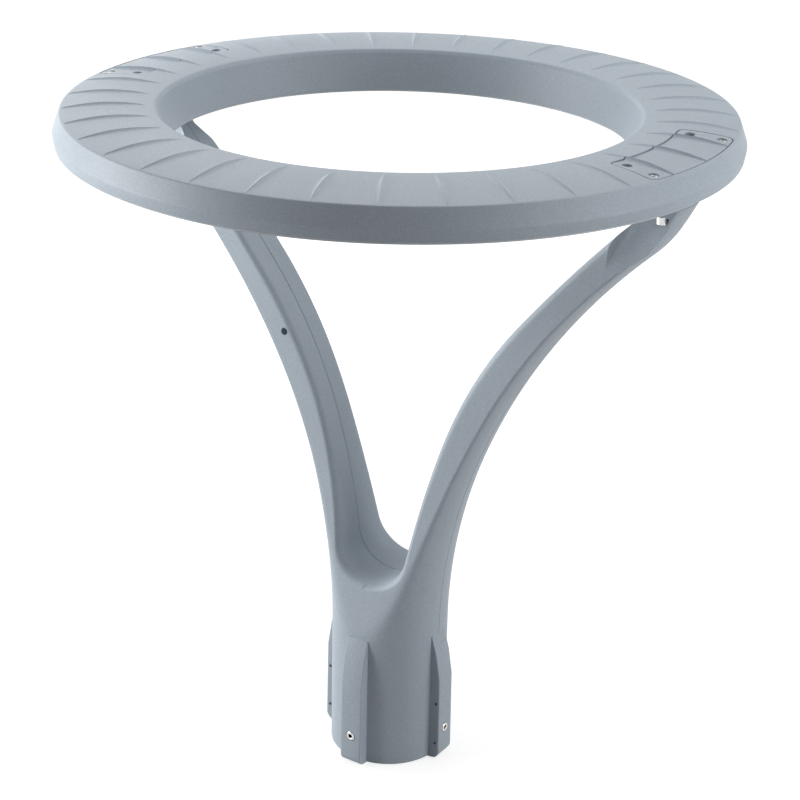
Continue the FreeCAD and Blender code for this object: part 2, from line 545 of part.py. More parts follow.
def make_ring():
    """Makes the ring casting."""
    body = new_body("ring_housing")
    section = new_sketch(body, "ring_section", "XZ_Plane")
    outline(section, [
        ("ring_bottom_radius", "ring_base"),
        ("ring_radius", "ring_base + ring_widest_height"),
        ("crease_radius", "ring_base + crease_height"),
        ("eye_top_radius", "ring_base + eye_top_height", "dome_mid_radius", "ring_base + dome_mid_height"),
        ("eye_wall_radius", "ring_base + eye_wall_height"),
        ("eye_radius", "ring_base - eye_drop"),
        ("eye_radius + lip_wall", "ring_base - eye_drop"),
        ("eye_radius + lip_wall", "ring_base - ledge_drop"),
        ("cavity_inner_radius", "ring_base - ledge_drop"),
        ("cavity_inner_radius", "ring_base + roof_height"),
        ("cavity_outer_radius", "ring_base + roof_height"),
        ("cavity_outer_radius", "ring_base + ledge_height"),
        ("ring_bottom_radius - outer_lip_wall", "ring_base + ledge_height"),
        ("ring_bottom_radius - outer_lip_wall", "ring_base"),
    ])
    turned(body, "ring_shell", section)

    crest = ridge(body, "ridge")
    ring_of(body, "ridges", crest, "ridge_count")

    tub = new_sketch(body, "tub_section", "XZ_Plane")
    outline(tub, [
        ("tub_inner_radius", "ring_base + tub_bottom_height"),
        ("cavity_outer_radius + root", "ring_base + tub_bottom_height"),
        ("cavity_outer_radius + root", "ring_base + roof_height + root / 2"),
        ("tub_inner_radius", "ring_base + roof_height + root / 2"),
    ])
    block = turned(body, "tub", tub, angle="2 * tub_half_angle")

    lower = new_sketch(body, "boss_bottom_outline", "XY_Plane", "ring_base - arm_top_drop")
    upper = new_sketch(body, "boss_top_outline", "XY_Plane", "ring_base + tub_bottom_height + boss_overlap")
    reach_low = neck_reach("ring_base - arm_top_drop")
    reach_high = neck_reach("ring_base + tub_bottom_height + boss_overlap")
    for sketch, reach in ((lower, reach_low), (upper, reach_high)):
        side = f"{reach} + sqrt(sleeve_radius^2 - arm_half_depth_top^2)"
        outline(sketch, [
            ("boss_inner_reach", "-arm_half_depth_top"),
            (side, "-arm_half_depth_top"),
            (side, "arm_half_depth_top", f"{reach} + sleeve_radius", "0"),
            ("boss_inner_reach", "arm_half_depth_top"),
        ])
    boss = feature(body, "AdditiveLoft", "boss", lower, Sections=[upper])
    ring_of(body, "tubs_and_bosses", block, "2").Originals = [block, boss]

    seat = new_sketch(body, "cover_recess_outline", "XY_Plane", "ring_base + cover_seat_height")
    cover_outline(seat, "cover_inner_radius", "cover_outer_radius", "cover_half_angle", "(-cover_gap)")
    recess = feature(body, "Pocket", "cover_recess", seat, Type=1, Reversed=True)

    well = new_sketch(body, "junction_pocket_outline", "XY_Plane", "ring_base + pocket_floor_height")
    cover_outline(well, "pocket_inner_radius", "pocket_outer_radius", "pocket_half_angle", "0")
    pocket = feature(body, "Pocket", "junction_pocket", well, Type=1, Reversed=True)

    wire = new_sketch(body, "wire_hole_outline", "XY_Plane", "ring_base - arm_top_drop")
    circle(wire, "wire_hole_reach", "0", "wire_hole")
    feature(body, "Pocket", "wire_hole", wire, Type=1, Reversed=True)

    taps = new_sketch(body, "cap_screw_holes_outline", "XY_Plane", "ring_base - arm_top_drop")
    circle(taps, "cap_screw_reach", "cap_screw_offset", "cap_screw_diameter")
    circle(taps, "cap_screw_reach", "-cap_screw_offset", "cap_screw_diameter")
    depth = "cap_screw_length - scoop_roof - cap_washer + tap_runout"
    cap_holes = feature(body, "Pocket", "cap_screw_holes", taps, {"Length": depth}, Reversed=True)

    screws = new_sketch(body, "cover_screw_holes_outline", "XY_Plane", "ring_base + cover_seat_height")
    for radius in ("cover_screw_inner_radius", "cover_screw_outer_radius"):
        for angle in ("cover_screw_angle", "-cover_screw_angle"):
            circle(screws, *polar(radius, angle), "cover_screw_shank")
    depth = "cover_seat_height - cover_screw_outer_seat + cover_screw_length + tap_runout"
    screw_holes = feature(body, "Pocket", "cover_screw_holes", screws, {"Length": depth})
    cuts = ring_of(body, "pockets_and_holes", recess, "2")
    cuts.Originals = [recess, pocket, cap_holes, screw_holes]

    roof = new_sketch(body, "board_screw_holes_outline", "XY_Plane", "ring_base + roof_height")
    for middle in BOARD_MIDDLES:
        for step in ("board_screw_angle", "-board_screw_angle"):
            circle(roof, *polar("board_screw_radius", f"({middle} + {step})"), "board_screw_diameter")
    depth = "board_screw_length - board_thickness + tap_runout / 2"
    feature(body, "Pocket", "board_screw_holes", roof, {"Length": depth}, Reversed=True)
    return body


# Bracket: two arms with a crowned outer face that grow out of the sleeve, split on the mid plane.
ARM_TOP = "(ring_base - arm_top_drop)"
ABOVE_ARM = "(ring_base + overrun)"


def bracket_blank(body):
    """Makes the outer form of both arms above the sleeve, front and rear half in one."""

    # one round section is carried up the arm without turning, so it keeps the sleeve's crown
    path = new_sketch(body, "arm_path", "XZ_Plane")
    outline(path, [
        ("0", "seam_height"),
        ("0", "sleeve_top_height"),
        ("arm_outer_knee_reach", "arm_outer_knee_height", "tangent"),
        ("arm_outer_hip_reach", "ring_base - arm_outer_hip_drop", "tangent"),
        ("arm_outer_neck_reach", "ring_base - arm_outer_neck_drop", "tangent"),
        (neck_reach(ARM_TOP), ARM_TOP, "tangent"),
    ], closed=False)
    crown = new_sketch(body, "arm_section", "XY_Plane", "seam_height")
    circle(crown, "0", "0", "2 * sleeve_radius")
    arm = feature(body, "AdditivePipe", "arm", crown, Spine=path, Mode="Fixed")
    mirror_of(body, "arms", [arm])

    # the front and rear faces are flat across and flare out to the sleeve in one long curve
    side = new_sketch(body, "flank_outline", "YZ_Plane")
    outline(side, [
        ("arm_half_depth_top", ABOVE_ARM),
        ("arm_half_depth_top", "ring_base - arm_outer_neck_drop"),
        ("arm_half_depth_mid", "arm_mid_height"),
        ("arm_half_depth_knee", "flare_start_height"),
        ("flare_tip_reach", "flare_tip_height", "tangent"),
        ("flare_tip_reach + overrun", "flare_tip_height"),
        ("flare_tip_reach + overrun", ABOVE_ARM),
    ])
    flank = feature(body, "Pocket", "flank", side, Type=1, Midplane=True)
    mirror_of(body, "flanks", [flank], "XZ_Plane")

    gap = new_sketch(body, "crotch_outline", "XZ_Plane")
    outline(gap, [
        ("-1", "crotch_height"),
        ("0", "crotch_height"),
        ("arm_inner_foot_reach", "arm_inner_foot_height", "tangent"),
        ("arm_inner_knee_reach", "arm_outer_knee_height", "tangent"),
        ("arm_inner_elbow_reach", "arm_mid_height", "tangent"),
        ("arm_inner_top_reach", ARM_TOP, "tangent"),
        ("arm_inner_top_reach", ABOVE_ARM),
        ("-1", ABOVE_ARM),
    ])
    crotch = feature(body, "Pocket", "crotch", gap, Type=1, Midplane=True)
    mirror_of(body, "crotches", [crotch])


def screw_pads(body):
    """Adds a flat pad for each set screw, which tapers away above the sleeve."""
    rib = new_sketch(body, "pad_outline", "XZ_Plane")
    root = "(sleeve_radius - pad_root)"
    outline(rib, [
        (root, "0"),
        ("pad_reach", "0"),
        ("pad_shoulder_reach", "pad_shoulder_height"),
        ("pad_taper_reach", "pad_taper_height"),
        ("sleeve_radius - root / 2", "pad_tip_height"),
        (root, "pad_tip_height"),
    ])
    pad = feature(body, "Pad", "screw_pad", rib, {"Length": "pad_width"}, Midplane=True)
    ring_of(body, "screw_pads", pad, "4")


def bracket_cuts(body, side):
    """Cuts the cable duct, the scoops and the screw holes of one casting; side is - or + along Y."""
    path = new_sketch(body, "duct_path", "XZ_Plane")
    outline(path, [
        ("duct_start_reach", "bore_depth - duct_start_drop"),
        ("duct_start_reach", "bore_depth + duct_start_rise"),
        ("duct_foot_reach", "arm_inner_foot_height", "tangent"),
        ("duct_knee_reach", "arm_outer_knee_height", "tangent"),
        ("duct_elbow_reach", "arm_mid_height", "tangent"),
        ("duct_hip_reach", "ring_base - arm_outer_hip_drop", "tangent"),
        ("duct_top_reach", "ring_base - duct_top_drop", "tangent"),
    ], closed=False)
    section = new_sketch(body, "duct_section", "XY_Plane", "bore_depth - duct_start_drop")
    outline(section, [
        ("duct_start_reach - duct_width / 2", "0"),
        ("duct_start_reach + duct_width / 2", "0"),
        ("duct_start_reach + duct_width / 2", f"{side}duct_half_depth"),
        ("duct_start_reach - duct_width / 2", f"{side}duct_half_depth"),
    ])
    duct = feature(body, "SubtractivePipe", "duct", section, Spine=path, Mode="Fixed")

    slot = new_sketch(body, "scoop_outline", "XY_Plane", "ring_base - scoop_top_drop")
    outline(slot, [
        ("cap_screw_reach - scoop_radius", f"{side}cap_screw_offset"),
        ("cap_screw_reach - scoop_radius", f"{side}(arm_half_depth_top + overrun)"),
        ("cap_screw_reach + scoop_radius", f"{side}(arm_half_depth_top + overrun)"),
        ("cap_screw_reach + scoop_radius", f"{side}cap_screw_offset"),
    ])
    scoop = feature(body, "Pocket", "scoop", slot, {"Length": "scoop_height"})
    round_end = new_sketch(body, "scoop_end_outline", "XY_Plane", "ring_base - scoop_top_drop")
    circle(round_end, "cap_screw_reach", f"{side}cap_screw_offset", "2 * scoop_radius")
    scoop_end = feature(body, "Pocket", "scoop_end", round_end, {"Length": "scoop_height"})

    hole = new_sketch(body, "cap_screw_hole_outline", "XY_Plane", ARM_TOP)
    circle(hole, "cap_screw_reach", f"{side}cap_screw_offset", "cap_screw_diameter + 2 * clearance")
    shaft = feature(body, "Pocket", "cap_screw_hole", hole, {"Length": "scoop_roof + root"})

    wire = new_sketch(body, "wire_hole_outline", "XY_Plane", ARM_TOP)
    circle(wire, "wire_hole_reach", "0", "wire_hole")
    feature(body, "Pocket", "wire_hole", wire, {"Length": "duct_roof + wire_hole_run"})
    mirror_of(body, "both_arms", [duct, scoop, scoop_end, shaft])


def seam_outline(body):
    """Draws the rectangle that takes away one side of the seam."""
    sketch = new_sketch(body, "seam_outline", "XZ_Plane")
    outline(sketch, [
        ("-ring_radius", "seam_height"),
        ("ring_radius", "seam_height"),
        ("ring_radius", ABOVE_ARM),
        ("-ring_radius", ABOVE_ARM),
    ])
    return sketch


def make_bracket():
    """Makes the front casting with the whole sleeve, and the rear cover of both arms."""
    front = new_body("bracket_front_casting")
    bracket_blank(front)
    base = new_sketch(front, "sleeve_outline", "XY_Plane")
    circle(base, "0", "0", "2 * sleeve_radius")
    feature(front, "Pad", "sleeve", base, {"Length": "seam_height"})
    screw_pads(front)
    feature(front, "Pocket", "seam", seam_outline(front), Type=1)

    mouth = new_sketch(front, "bore_outline", "XY_Plane")
    circle(mouth, "0", "0", "bore_diameter")
    feature(front, "Pocket", "bore", mouth, {"Length": "bore_depth"}, Reversed=True)
    bracket_cuts(front, "-")

    screw = new_sketch(front, "set_screw_outline", "YZ_Plane")
    circle(screw, "0", "set_screw_height", "set_screw_diameter")
    hole = feature(front, "Pocket", "set_screw_hole", screw, Type=1, Reversed=True)
    ring_of(front, "set_screw_holes", hole, "4")

    pins = new_sketch(front, "pin_hole_outline", "XZ_Plane", "pad_width / 2")
    circle(pins, "pin_hole_reach", "pin_hole_low", "pin_hole")
    circle(pins, "pin_hole_reach", "pin_hole_high", "pin_hole")
    pin_holes = feature(front, "Pocket", "pin_hole", pins, {"Length": "pin_hole_depth"})
    mirror_of(front, "pin_holes", [pin_holes])

    drill = new_sketch(front, "arm_hole_outline", "XZ_Plane", "arm_half_depth_mid + overrun")
    circle(drill, "-arm_hole_reach", "arm_hole_height", "arm_hole")
    feature(front, "Pocket", "arm_hole", drill, {"Length": "arm_hole_depth + overrun"})

    taps = new_sketch(front, "rear_screw_outline", "XZ_Plane")
    circle(taps, "rear_screw_offset", "rear_screw_height", "rear_screw_diameter")
    circle(taps, "-rear_screw_offset", "rear_screw_height", "rear_screw_diameter")
    depth = "rear_screw_length - rear_screw_seat + tap_runout"
    feature(front, "Pocket", "rear_screw_taps", taps, {"Length": depth}, Reversed=True)

    rear = new_body("bracket_rear_cover")
    bracket_blank(rear)
    screw_pads(rear)
    foot = new_sketch(rear, "foot_outline", "XY_Plane", "seam_height")
    circle(foot, "0", "0", "2 * (pad_reach + overrun)")
    feature(rear, "Pocket", "foot", foot, Type=1)
    feature(rear, "Pocket", "seam", seam_outline(rear), Type=1, Reversed=True)
    bracket_cuts(rear, "+")
    holes = new_sketch(rear, "rear_screw_outline", "XZ_Plane")
    heads = new_sketch(rear, "rear_screw_head_outline", "XZ_Plane", "-rear_screw_seat")
    for where in ("rear_screw_offset", "-rear_screw_offset"):
        circle(holes, where, "rear_screw_height", "rear_screw_diameter + 2 * clearance")
        circle(heads, where, "rear_screw_height", "rear_screw_bore")
    feature(rear, "Pocket", "rear_screw_holes", holes, Type=1)
    feature(rear, "Pocket", "rear_screw_head_bores", heads, Type=1)
    return front, rear


def make_cover(name, angle):
    """Makes a junction cover: a domed plate with rounded corners, three ridges and four screw seats."""
    body = new_body(name, angle)
    underside = "ring_base + cover_seat_height + cover_gasket"
    plate = new_sketch(body, "plate_outline", "XY_Plane", underside)
    cover_outline(plate, "cover_inner_radius", "cover_outer_radius", "cover_half_angle", "0")
    feature(body, "Pad", "plate", plate, {"Length": "ridge_top_height - cover_seat_height + root"})

    above = new_sketch(body, "dome_outline", "XZ_Plane")
    face = "ring_base - cover_step"
    outline(above, [
        ("crease_radius", f"{face} + crease_height", "dome_mid_radius", f"{face} + dome_mid_height"),
        ("crease_radius", "ring_base + ridge_top_height + overrun"),
        ("eye_top_radius", "ring_base + ridge_top_height + overrun"),
        ("eye_top_radius", f"{face} + eye_top_height"),
    ])
    turned(body, "dome_face", above, additive=False)

    crest = ridge(body, "ridge", "cover_step")
    ring_of(body, "ridges", crest, "ridge_count")

    trim = new_sketch(body, "trim_outline", "XY_Plane", underside)
    cover_outline(trim, "cover_inner_radius", "cover_outer_radius", "cover_half_angle", "0")
    circle(trim, "0", "0", "3 * ring_radius")
    feature(body, "Pocket", "trim", trim, Type=1, Reversed=True)

    shanks = new_sketch(body, "screw_holes_outline", "XY_Plane", underside)
    inner_seats = new_sketch(body, "inner_seats_outline", "XY_Plane", "ring_base + cover_screw_inner_seat")
    outer_seats = new_sketch(body, "outer_seats_outline", "XY_Plane", "ring_base + cover_screw_outer_seat")
    for angle in ("cover_screw_angle", "(-cover_screw_angle)"):
        inner = polar("cover_screw_inner_radius", angle)
        outer = polar("cover_screw_outer_radius", angle)
        circle(shanks, *inner, "cover_screw_shank + 2 * clearance")
        circle(shanks, *outer, "cover_screw_shank + 2 * clearance")
        circle(inner_seats, *inner, "cover_screw_head + 4 * clearance")
        circle(outer_seats, *outer, "cover_screw_head + 4 * clearance")
    feature(body, "Pocket", "screw_holes", shanks, Type=1, Reversed=True)
    feature(body, "Pocket", "inner_seats", inner_seats, Type=1, Reversed=True)
    feature(body, "Pocket", "outer_seats", outer_seats, Type=1, Reversed=True)
    return body


def make_cover_gasket(name, angle):
    """Makes the flat gasket under a junction cover."""
    body = new_body(name, angle)
    sheet_outline = new_sketch(body, "gasket_outline", "XY_Plane", "ring_base + cover_seat_height")
    cover_outline(sheet_outline, "cover_inner_radius", "cover_outer_radius", "cover_half_angle", "clearance")
    cover_outline(sheet_outline, "pocket_inner_radius", "pocket_outer_radius", "pocket_half_angle", "0")
    for angle in ("cover_screw_angle", "(-cover_screw_angle)"):
        for radius in ("cover_screw_inner_radius", "cover_screw_outer_radius"):
            circle(sheet_outline, *polar(radius, angle), "cover_screw_shank + 2 * clearance")
    feature(body, "Pad", "gasket", sheet_outline, {"Length": "cover_gasket"})
    return body


def make_diffuser():
    """Makes the opal diffuser, a shallow ring-shaped tray with a notch at each arm."""
    body = new_body("diffuser_ring")
    outer = "(ring_bottom_radius - outer_lip_wall - diffuser_gap)"
    inner = "(eye_radius + lip_wall + diffuser_gap)"
    outer_seat = "ring_base + ledge_height - diffuser_gasket"
    inner_seat = "ring_base - ledge_drop - diffuser_gasket"
    middle = f"({outer} + {inner}) / 2"
    lowest = "ring_base - diffuser_drop - eye_drop / 2 - diffuser_bulge"
    tray = new_sketch(body, "tray_section", "XZ_Plane")
    outline(tray, [
        (inner, "ring_base - eye_drop - diffuser_drop"),
        (outer, "ring_base - diffuser_drop", middle, lowest),
        (outer, outer_seat),
        (f"{outer} - 2 * diffuser_thickness", outer_seat),
        (f"{inner} + 2 * diffuser_thickness", inner_seat, middle, f"{lowest} + diffuser_thickness"),
        (inner, inner_seat),
    ])
    turned(body, "tray", tray)
    side = "arm_half_depth_top + diffuser_notch"
    notch = new_sketch(body, "notch_outline", "XY_Plane", "ring_base - eye_drop - diffuser_drop - overrun")
    outline(notch, [
        ("boss_inner_reach - diffuser_notch", f"-({side})"),
        ("ring_radius + overrun", f"-({side})"),
        ("ring_radius + overrun", side),
        ("boss_inner_reach - diffuser_notch", side),
    ])
    cut = feature(body, "Pocket", "notch", notch, Type=1, Reversed=True)
    ring_of(body, "notches", cut, "2")
    return body


def make_diffuser_gaskets():
    """Makes the silicone strips between diffuser and casting: one inside, two outside."""
    inner = new_body("diffuser_gasket_inner")
    section = new_sketch(inner, "strip_section", "XZ_Plane")
    outline(section, [
        ("eye_radius + lip_wall + diffuser_gap", "ring_base - ledge_drop - diffuser_gasket"),
        ("cavity_inner_radius", "ring_base - ledge_drop - diffuser_gasket"),
        ("cavity_inner_radius", "ring_base - ledge_drop"),
        ("eye_radius + lip_wall + diffuser_gap", "ring_base - ledge_drop"),
    ])
    turned(inner, "strip", section)
    bodies = [inner]
    for name, angle in (("diffuser_gasket_front", -90), ("diffuser_gasket_rear", 90)):
        strip = new_body(name, angle)
        section = new_sketch(strip, "strip_section", "XZ_Plane")
        outline(section, [
            ("cavity_outer_radius", "ring_base + ledge_height - diffuser_gasket"),
            ("ring_bottom_radius - outer_lip_wall - diffuser_gap", "ring_base + ledge_height - diffuser_gasket"),
            ("ring_bottom_radius - outer_lip_wall - diffuser_gap", "ring_base + ledge_height"),
            ("cavity_outer_radius", "ring_base + ledge_height"),
        ])
        span = "180 deg - 2 * asin((arm_half_depth_top + diffuser_notch) / cavity_outer_radius)"
        turned(strip, "strip", section, angle=span)
        bodies.append(strip)
    return bodies


def make_screw(name, head, head_height, shank, length, socket):
    """Makes a screw that points down, its head's underside at the origin: round head, hexagon socket."""
    body = new_body(name)
    section = new_sketch(body, "screw_section", "XZ_Plane")
    edge = f"{head_height} * head_edge_share"
    outline(section, [
        ("0", f"-({length})"),
        (f"({shank}) / 2 - {shank} * tip_share", f"-({length})"),
        (f"({shank}) / 2", f"{shank} * tip_share - ({length})"),
        (f"({shank}) / 2", "0"),
        (f"({head}) / 2", "0"),
        (f"({head}) / 2", f"{head_height} - {edge}"),
        (f"({head}) / 2 - {edge}", head_height),
        ("0", head_height),
    ])
    turned(body, "screw", section)
    key = new_sketch(body, "socket_outline", "XY_Plane", head_height)
    hexagon(key, "0", "0", socket)
    feature(body, "Pocket", "socket", key, {"Length": f"{head_height} * socket_share"})
    return body


def make_set_screw():
    """Makes a headless set screw that points down, its top at the origin."""
    body = new_body("set_screw")
    rod = new_sketch(body, "rod_outline", "XY_Plane")
    circle(rod, "0", "0", "set_screw_diameter - clearance")
    feature(body, "Pad", "rod", rod, {"Length": "set_screw_length"}, Reversed=True)
    key = new_sketch(body, "socket_outline", "XY_Plane")
    hexagon(key, "0", "0", "set_screw_socket")
    feature(body, "Pocket", "socket", key, {"Length": "set_screw_socket"})
    return body


def make_washer():
    """Makes a cap screw's washer, which hangs down from the origin."""
    body = new_body("cap_washer")
    disc = new_sketch(body, "washer_outline", "XY_Plane")
    circle(disc, "0", "0", "cap_washer_diameter")
    circle(disc, "0", "0", "cap_screw_diameter + 2 * clearance")
    feature(body, "Pad", "washer", disc, {"Length": "cap_washer"}, Reversed=True)
    return body


def make_board(name, middle):
    """Makes one LED board: a flat arc on the roof of the lamp chamber."""
    body = new_body(name, size(middle))
    section = new_sketch(body, "board_section", "XZ_Plane")
    outline(section, [
        ("board_inner_radius", "ring_base + roof_height - board_thickness"),
        ("board_outer_radius", "ring_base + roof_height - board_thickness"),
        ("board_outer_radius", "ring_base + roof_height"),
        ("board_inner_radius", "ring_base + roof_height"),
    ])
    turned(body, "board", section, angle="2 * board_half_angle")
    holes = new_sketch(body, "board_holes_outline", "XY_Plane", "ring_base + roof_height - board_thickness")
    for angle in ("board_screw_angle", "(-board_screw_angle)"):
        circle(holes, *polar("board_screw_radius", angle), "board_screw_diameter + 2 * clearance")
    feature(body, "Pocket", "board_holes", holes, Type=1, Reversed=True)
    return body


def make_driver():
    """Makes the LED driver that lies in the left junction pocket."""
    body = new_body("led_driver")
    case = new_sketch(body, "case_outline", "XY_Plane", "ring_base + pocket_floor_height")
    outline(case, [
        ("-driver_reach - driver_width / 2", "-driver_length / 2"),
        ("-driver_reach + driver_width / 2", "-driver_length / 2"),
        ("-driver_reach + driver_width / 2", "driver_length / 2"),
        ("-driver_reach - driver_width / 2", "driver_length / 2"),
    ])
    feature(body, "Pad", "case", case, {"Length": "driver_height"})
    return body


def make_terminal():
    """Makes the terminal block beside the wire entry in the right junction pocket."""
    body = new_body("terminal_block")
    case = new_sketch(body, "block_outline", "XY_Plane", "ring_base + pocket_floor_height")
    outline(case, [
        ("terminal_reach - terminal_width / 2", "terminal_start"),
        ("terminal_reach + terminal_width / 2", "terminal_start"),
        ("terminal_reach + terminal_width / 2", "terminal_start + terminal_length"),
        ("terminal_reach - terminal_width / 2", "terminal_start + terminal_length"),
    ])
    feature(body, "Pad", "block", case, {"Length": "terminal_height"})
    wells = new_sketch(body, "wells_outline", "XY_Plane", "ring_base + pocket_floor_height + terminal_height")
    for way in range(int(size("terminal_ways"))):
        along = f"terminal_start + terminal_length * {way + 0.5} / terminal_ways"
        circle(wells, "terminal_reach", along, "terminal_hole")
    feature(body, "Pocket", "wells", wells, {"Length": "terminal_height / 2"})
    return body


def make_grommet():
    """Makes the grommet that lines the wire hole in the pocket's floor."""
    body = new_body("wire_grommet")
    for axis, text in (("x", "wire_hole_reach"), ("z", "ring_base + pocket_floor_height")):
        body.setExpression(f"Placement.Base.{axis}", bound(text))
    tube = "wire_hole / 2 - clearance / 2"
    section = new_sketch(body, "grommet_section", "XZ_Plane")
    outline(section, [
        (f"{tube} - grommet_wall", "-pocket_floor_height - arm_top_drop"),
        (tube, "-pocket_floor_height - arm_top_drop"),
        (tube, "0"),
        ("grommet_flange / 2", "0"),
        ("grommet_flange / 2", "grommet_flange_thickness"),
        (f"{tube} - grommet_wall", "grommet_flange_thickness"),
    ])
    turned(body, "grommet", section)
    return body


def group(name, source, places):
    """Sets copies of a piece at their places, as one sub-part of separate solids."""
    doc.recompute()
    copies = []
    for point, direction in places:
        copy = source.Shape.copy()
        turn = FreeCAD.Rotation(FreeCAD.Vector(0, 0, 1), FreeCAD.Vector(*direction))
        copy.Placement = FreeCAD.Placement(FreeCAD.Vector(*point), turn)
        copies.append(copy)
    made = doc.addObject("Part::Feature", name)
    made.Label = name
    made.Shape = Part.makeCompound(copies)
    made.Placement = FreeCAD.Placement()
    return made


def at_angle(radius, angle):
    """Returns the two coordinates of a point, as numbers."""
    return [size(text) for text in polar(radius, angle)]


def make_fasteners():
    """Makes every screw and washer where it sits."""
    cover_screw = make_screw("cover_screw", "cover_screw_head", "cover_screw_head_height",
                             "cover_screw_shank", "cover_screw_length", "cover_screw_socket")
    cap_screw = make_screw("cap_screw", "cap_screw_head", "cap_screw_head_height",
                           "cap_screw_diameter", "cap_screw_length", "cap_screw_socket")
    rear_screw = make_screw("rear_screw", "rear_screw_head", "rear_screw_head_height",
                            "rear_screw_diameter", "rear_screw_length", "cap_screw_socket")
    board_screw = make_screw("board_screw", "board_screw_head", "board_screw_head_height",
                             "board_screw_diameter", "board_screw_length", "board_screw_socket")
    up, down, back = (0, 0, 1), (0, 0, -1), (0, 1, 0)

    nodes = []
    for name, half_turn in (("cover_screws_right", 0), ("cover_screws_left", 180)):
        places = []
        for row in ("inner", "outer"):
            height = size(f"ring_base + cover_screw_{row}_seat")
            for angle in ("cover_screw_angle", "-cover_screw_angle"):
                place = at_angle(f"cover_screw_{row}_radius", f"({half_turn} + {angle})")
                places.append(((*place, height), up))
        nodes.append(group(name, cover_screw, places))

    corners = [(x, y) for x in (1, -1) for y in (1, -1)]
    reach, offset = size("cap_screw_reach"), size("cap_screw_offset")
    roof = size("ring_base - scoop_top_drop")
    under_head = roof - size("cap_washer")
    nodes.append(group("arm_cap_screws", cap_screw,
                       [((x * reach, y * offset, under_head), down) for x, y in corners]))
    nodes.append(group("arm_cap_washers", make_washer(),
                       [((x * reach, y * offset, roof), up) for x, y in corners]))

    side, seat = size("rear_screw_offset"), size("rear_screw_seat")
    height = size("rear_screw_height")
    nodes.append(group("rear_cover_screws", rear_screw,
                       [((x * side, seat, height), back) for x in (1, -1)]))

    slope = "(pad_reach - pad_shoulder_reach) / pad_shoulder_height"
    face = size(f"pad_reach - {slope} * set_screw_height + set_screw_proud")
    height = size("set_screw_height")
    nodes.append(group("sleeve_set_screws", make_set_screw(),
                       [((x * face, y * face, height), (x, y, 0)) for x, y in
                        ((1, 0), (0, 1), (-1, 0), (0, -1))]))

    under_board = size("ring_base + roof_height - board_thickness")
    places = []
    for middle in BOARD_MIDDLES:
        for step in ("board_screw_angle", "-board_screw_angle"):
            place = at_angle("board_screw_radius", f"({middle} + {step})")
            places.append(((*place, under_board), down))
    nodes.append(group("board_screws", board_screw, places))
    return nodes


def make_chips(name, middle):
    """Makes the two rows of LED packages under one board."""
    chip = doc.addObject("Part::Box", "chip")
    for side, text in (("Length", "chip_size"), ("Width", "chip_size"), ("Height", "chip_height")):
        chip.setExpression(side, bound(text))
    doc.recompute()
    count = int(size("chip_count"))
    half = size("chip_size") / 2
    lowest = size("ring_base + roof_height - board_thickness - chip_height")
    places = []
    for row in ("chip_inner_radius", "chip_outer_radius"):
        for number in range(count):
            angle = size(middle) + size("chip_pitch_angle") * (number - (count - 1) / 2)
            places.append((size(row), angle))
    copies = []
    for radius, angle in places:
        copy = chip.Shape.copy()
        copy.translate(FreeCAD.Vector(radius - half, -half, lowest))
        copy.rotate(FreeCAD.Vector(), FreeCAD.Vector(0, 0, 1), angle)
        copies.append(copy)
    made = doc.addObject("Part::Feature", name)
    made.Label = name
    made.Shape = Part.makeCompound(copies)
    made.Placement = FreeCAD.Placement()
    return made


def make_all():
    """Makes every sub-part and returns those that are written out."""
    nodes = [make_ring(), *make_bracket()]
    for side, angle in (("right", 0), ("left", 180)):
        nodes.append(make_cover(f"junction_cover_{side}", angle))
        nodes.append(make_cover_gasket(f"cover_gasket_{side}", angle))
    nodes.append(make_diffuser())
    nodes.extend(make_diffuser_gaskets())
    for number, middle in enumerate(BOARD_MIDDLES, start=1):
        nodes.append(make_board(f"led_board_{number}", middle))
        nodes.append(make_chips(f"led_packages_{number}", middle))
    nodes.extend((make_driver(), make_terminal(), make_grommet()))
    nodes.extend(make_fasteners())
    return nodes


nodes = make_all()
doc.recompute()

for item in doc.Objects:
    if "Invalid" in item.State or "Error" in item.State:
        raise RuntimeError(f"{item.Label} was not made: {item.State}")
for node in nodes:
    if node.Shape.isNull() or not node.Shape.isValid() or not node.Shape.Solids:
        raise RuntimeError(f"{node.Label} has no valid solid")

os.makedirs("parts", exist_ok=True)
for node in nodes:
    node.Shape.exportStep(f"parts/{node.Label}.step")
    print(node.Label, len(node.Shape.Solids), round(node.Shape.Volume, 1))
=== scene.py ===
import math

import bmesh
import bpy
import numpy as np
from mathutils import Matrix, Vector


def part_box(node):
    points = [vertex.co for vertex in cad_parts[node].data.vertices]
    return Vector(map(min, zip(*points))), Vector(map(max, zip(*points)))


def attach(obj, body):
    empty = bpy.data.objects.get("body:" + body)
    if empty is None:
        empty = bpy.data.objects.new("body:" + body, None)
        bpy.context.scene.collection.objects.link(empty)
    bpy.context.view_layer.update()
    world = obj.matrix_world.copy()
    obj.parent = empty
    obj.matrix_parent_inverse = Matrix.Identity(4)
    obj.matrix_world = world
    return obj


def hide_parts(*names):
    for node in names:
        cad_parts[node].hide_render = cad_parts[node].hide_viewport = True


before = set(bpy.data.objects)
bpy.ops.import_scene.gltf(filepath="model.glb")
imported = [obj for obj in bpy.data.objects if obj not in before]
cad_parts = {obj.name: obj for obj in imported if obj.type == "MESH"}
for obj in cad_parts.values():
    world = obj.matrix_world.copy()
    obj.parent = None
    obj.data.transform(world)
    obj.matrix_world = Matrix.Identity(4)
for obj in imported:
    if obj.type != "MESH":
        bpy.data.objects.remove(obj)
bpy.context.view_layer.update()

bl_info = {
    "name": "Ring street light head",
    "version": (1, 0, 0),
    "blender": (4, 5, 0),
    "location": "3D View > Sidebar > Street light",
    "description": "Dresses the ring-shaped LED street light head and sets its stage",
    "category": "Object",
}

MM = 0.001

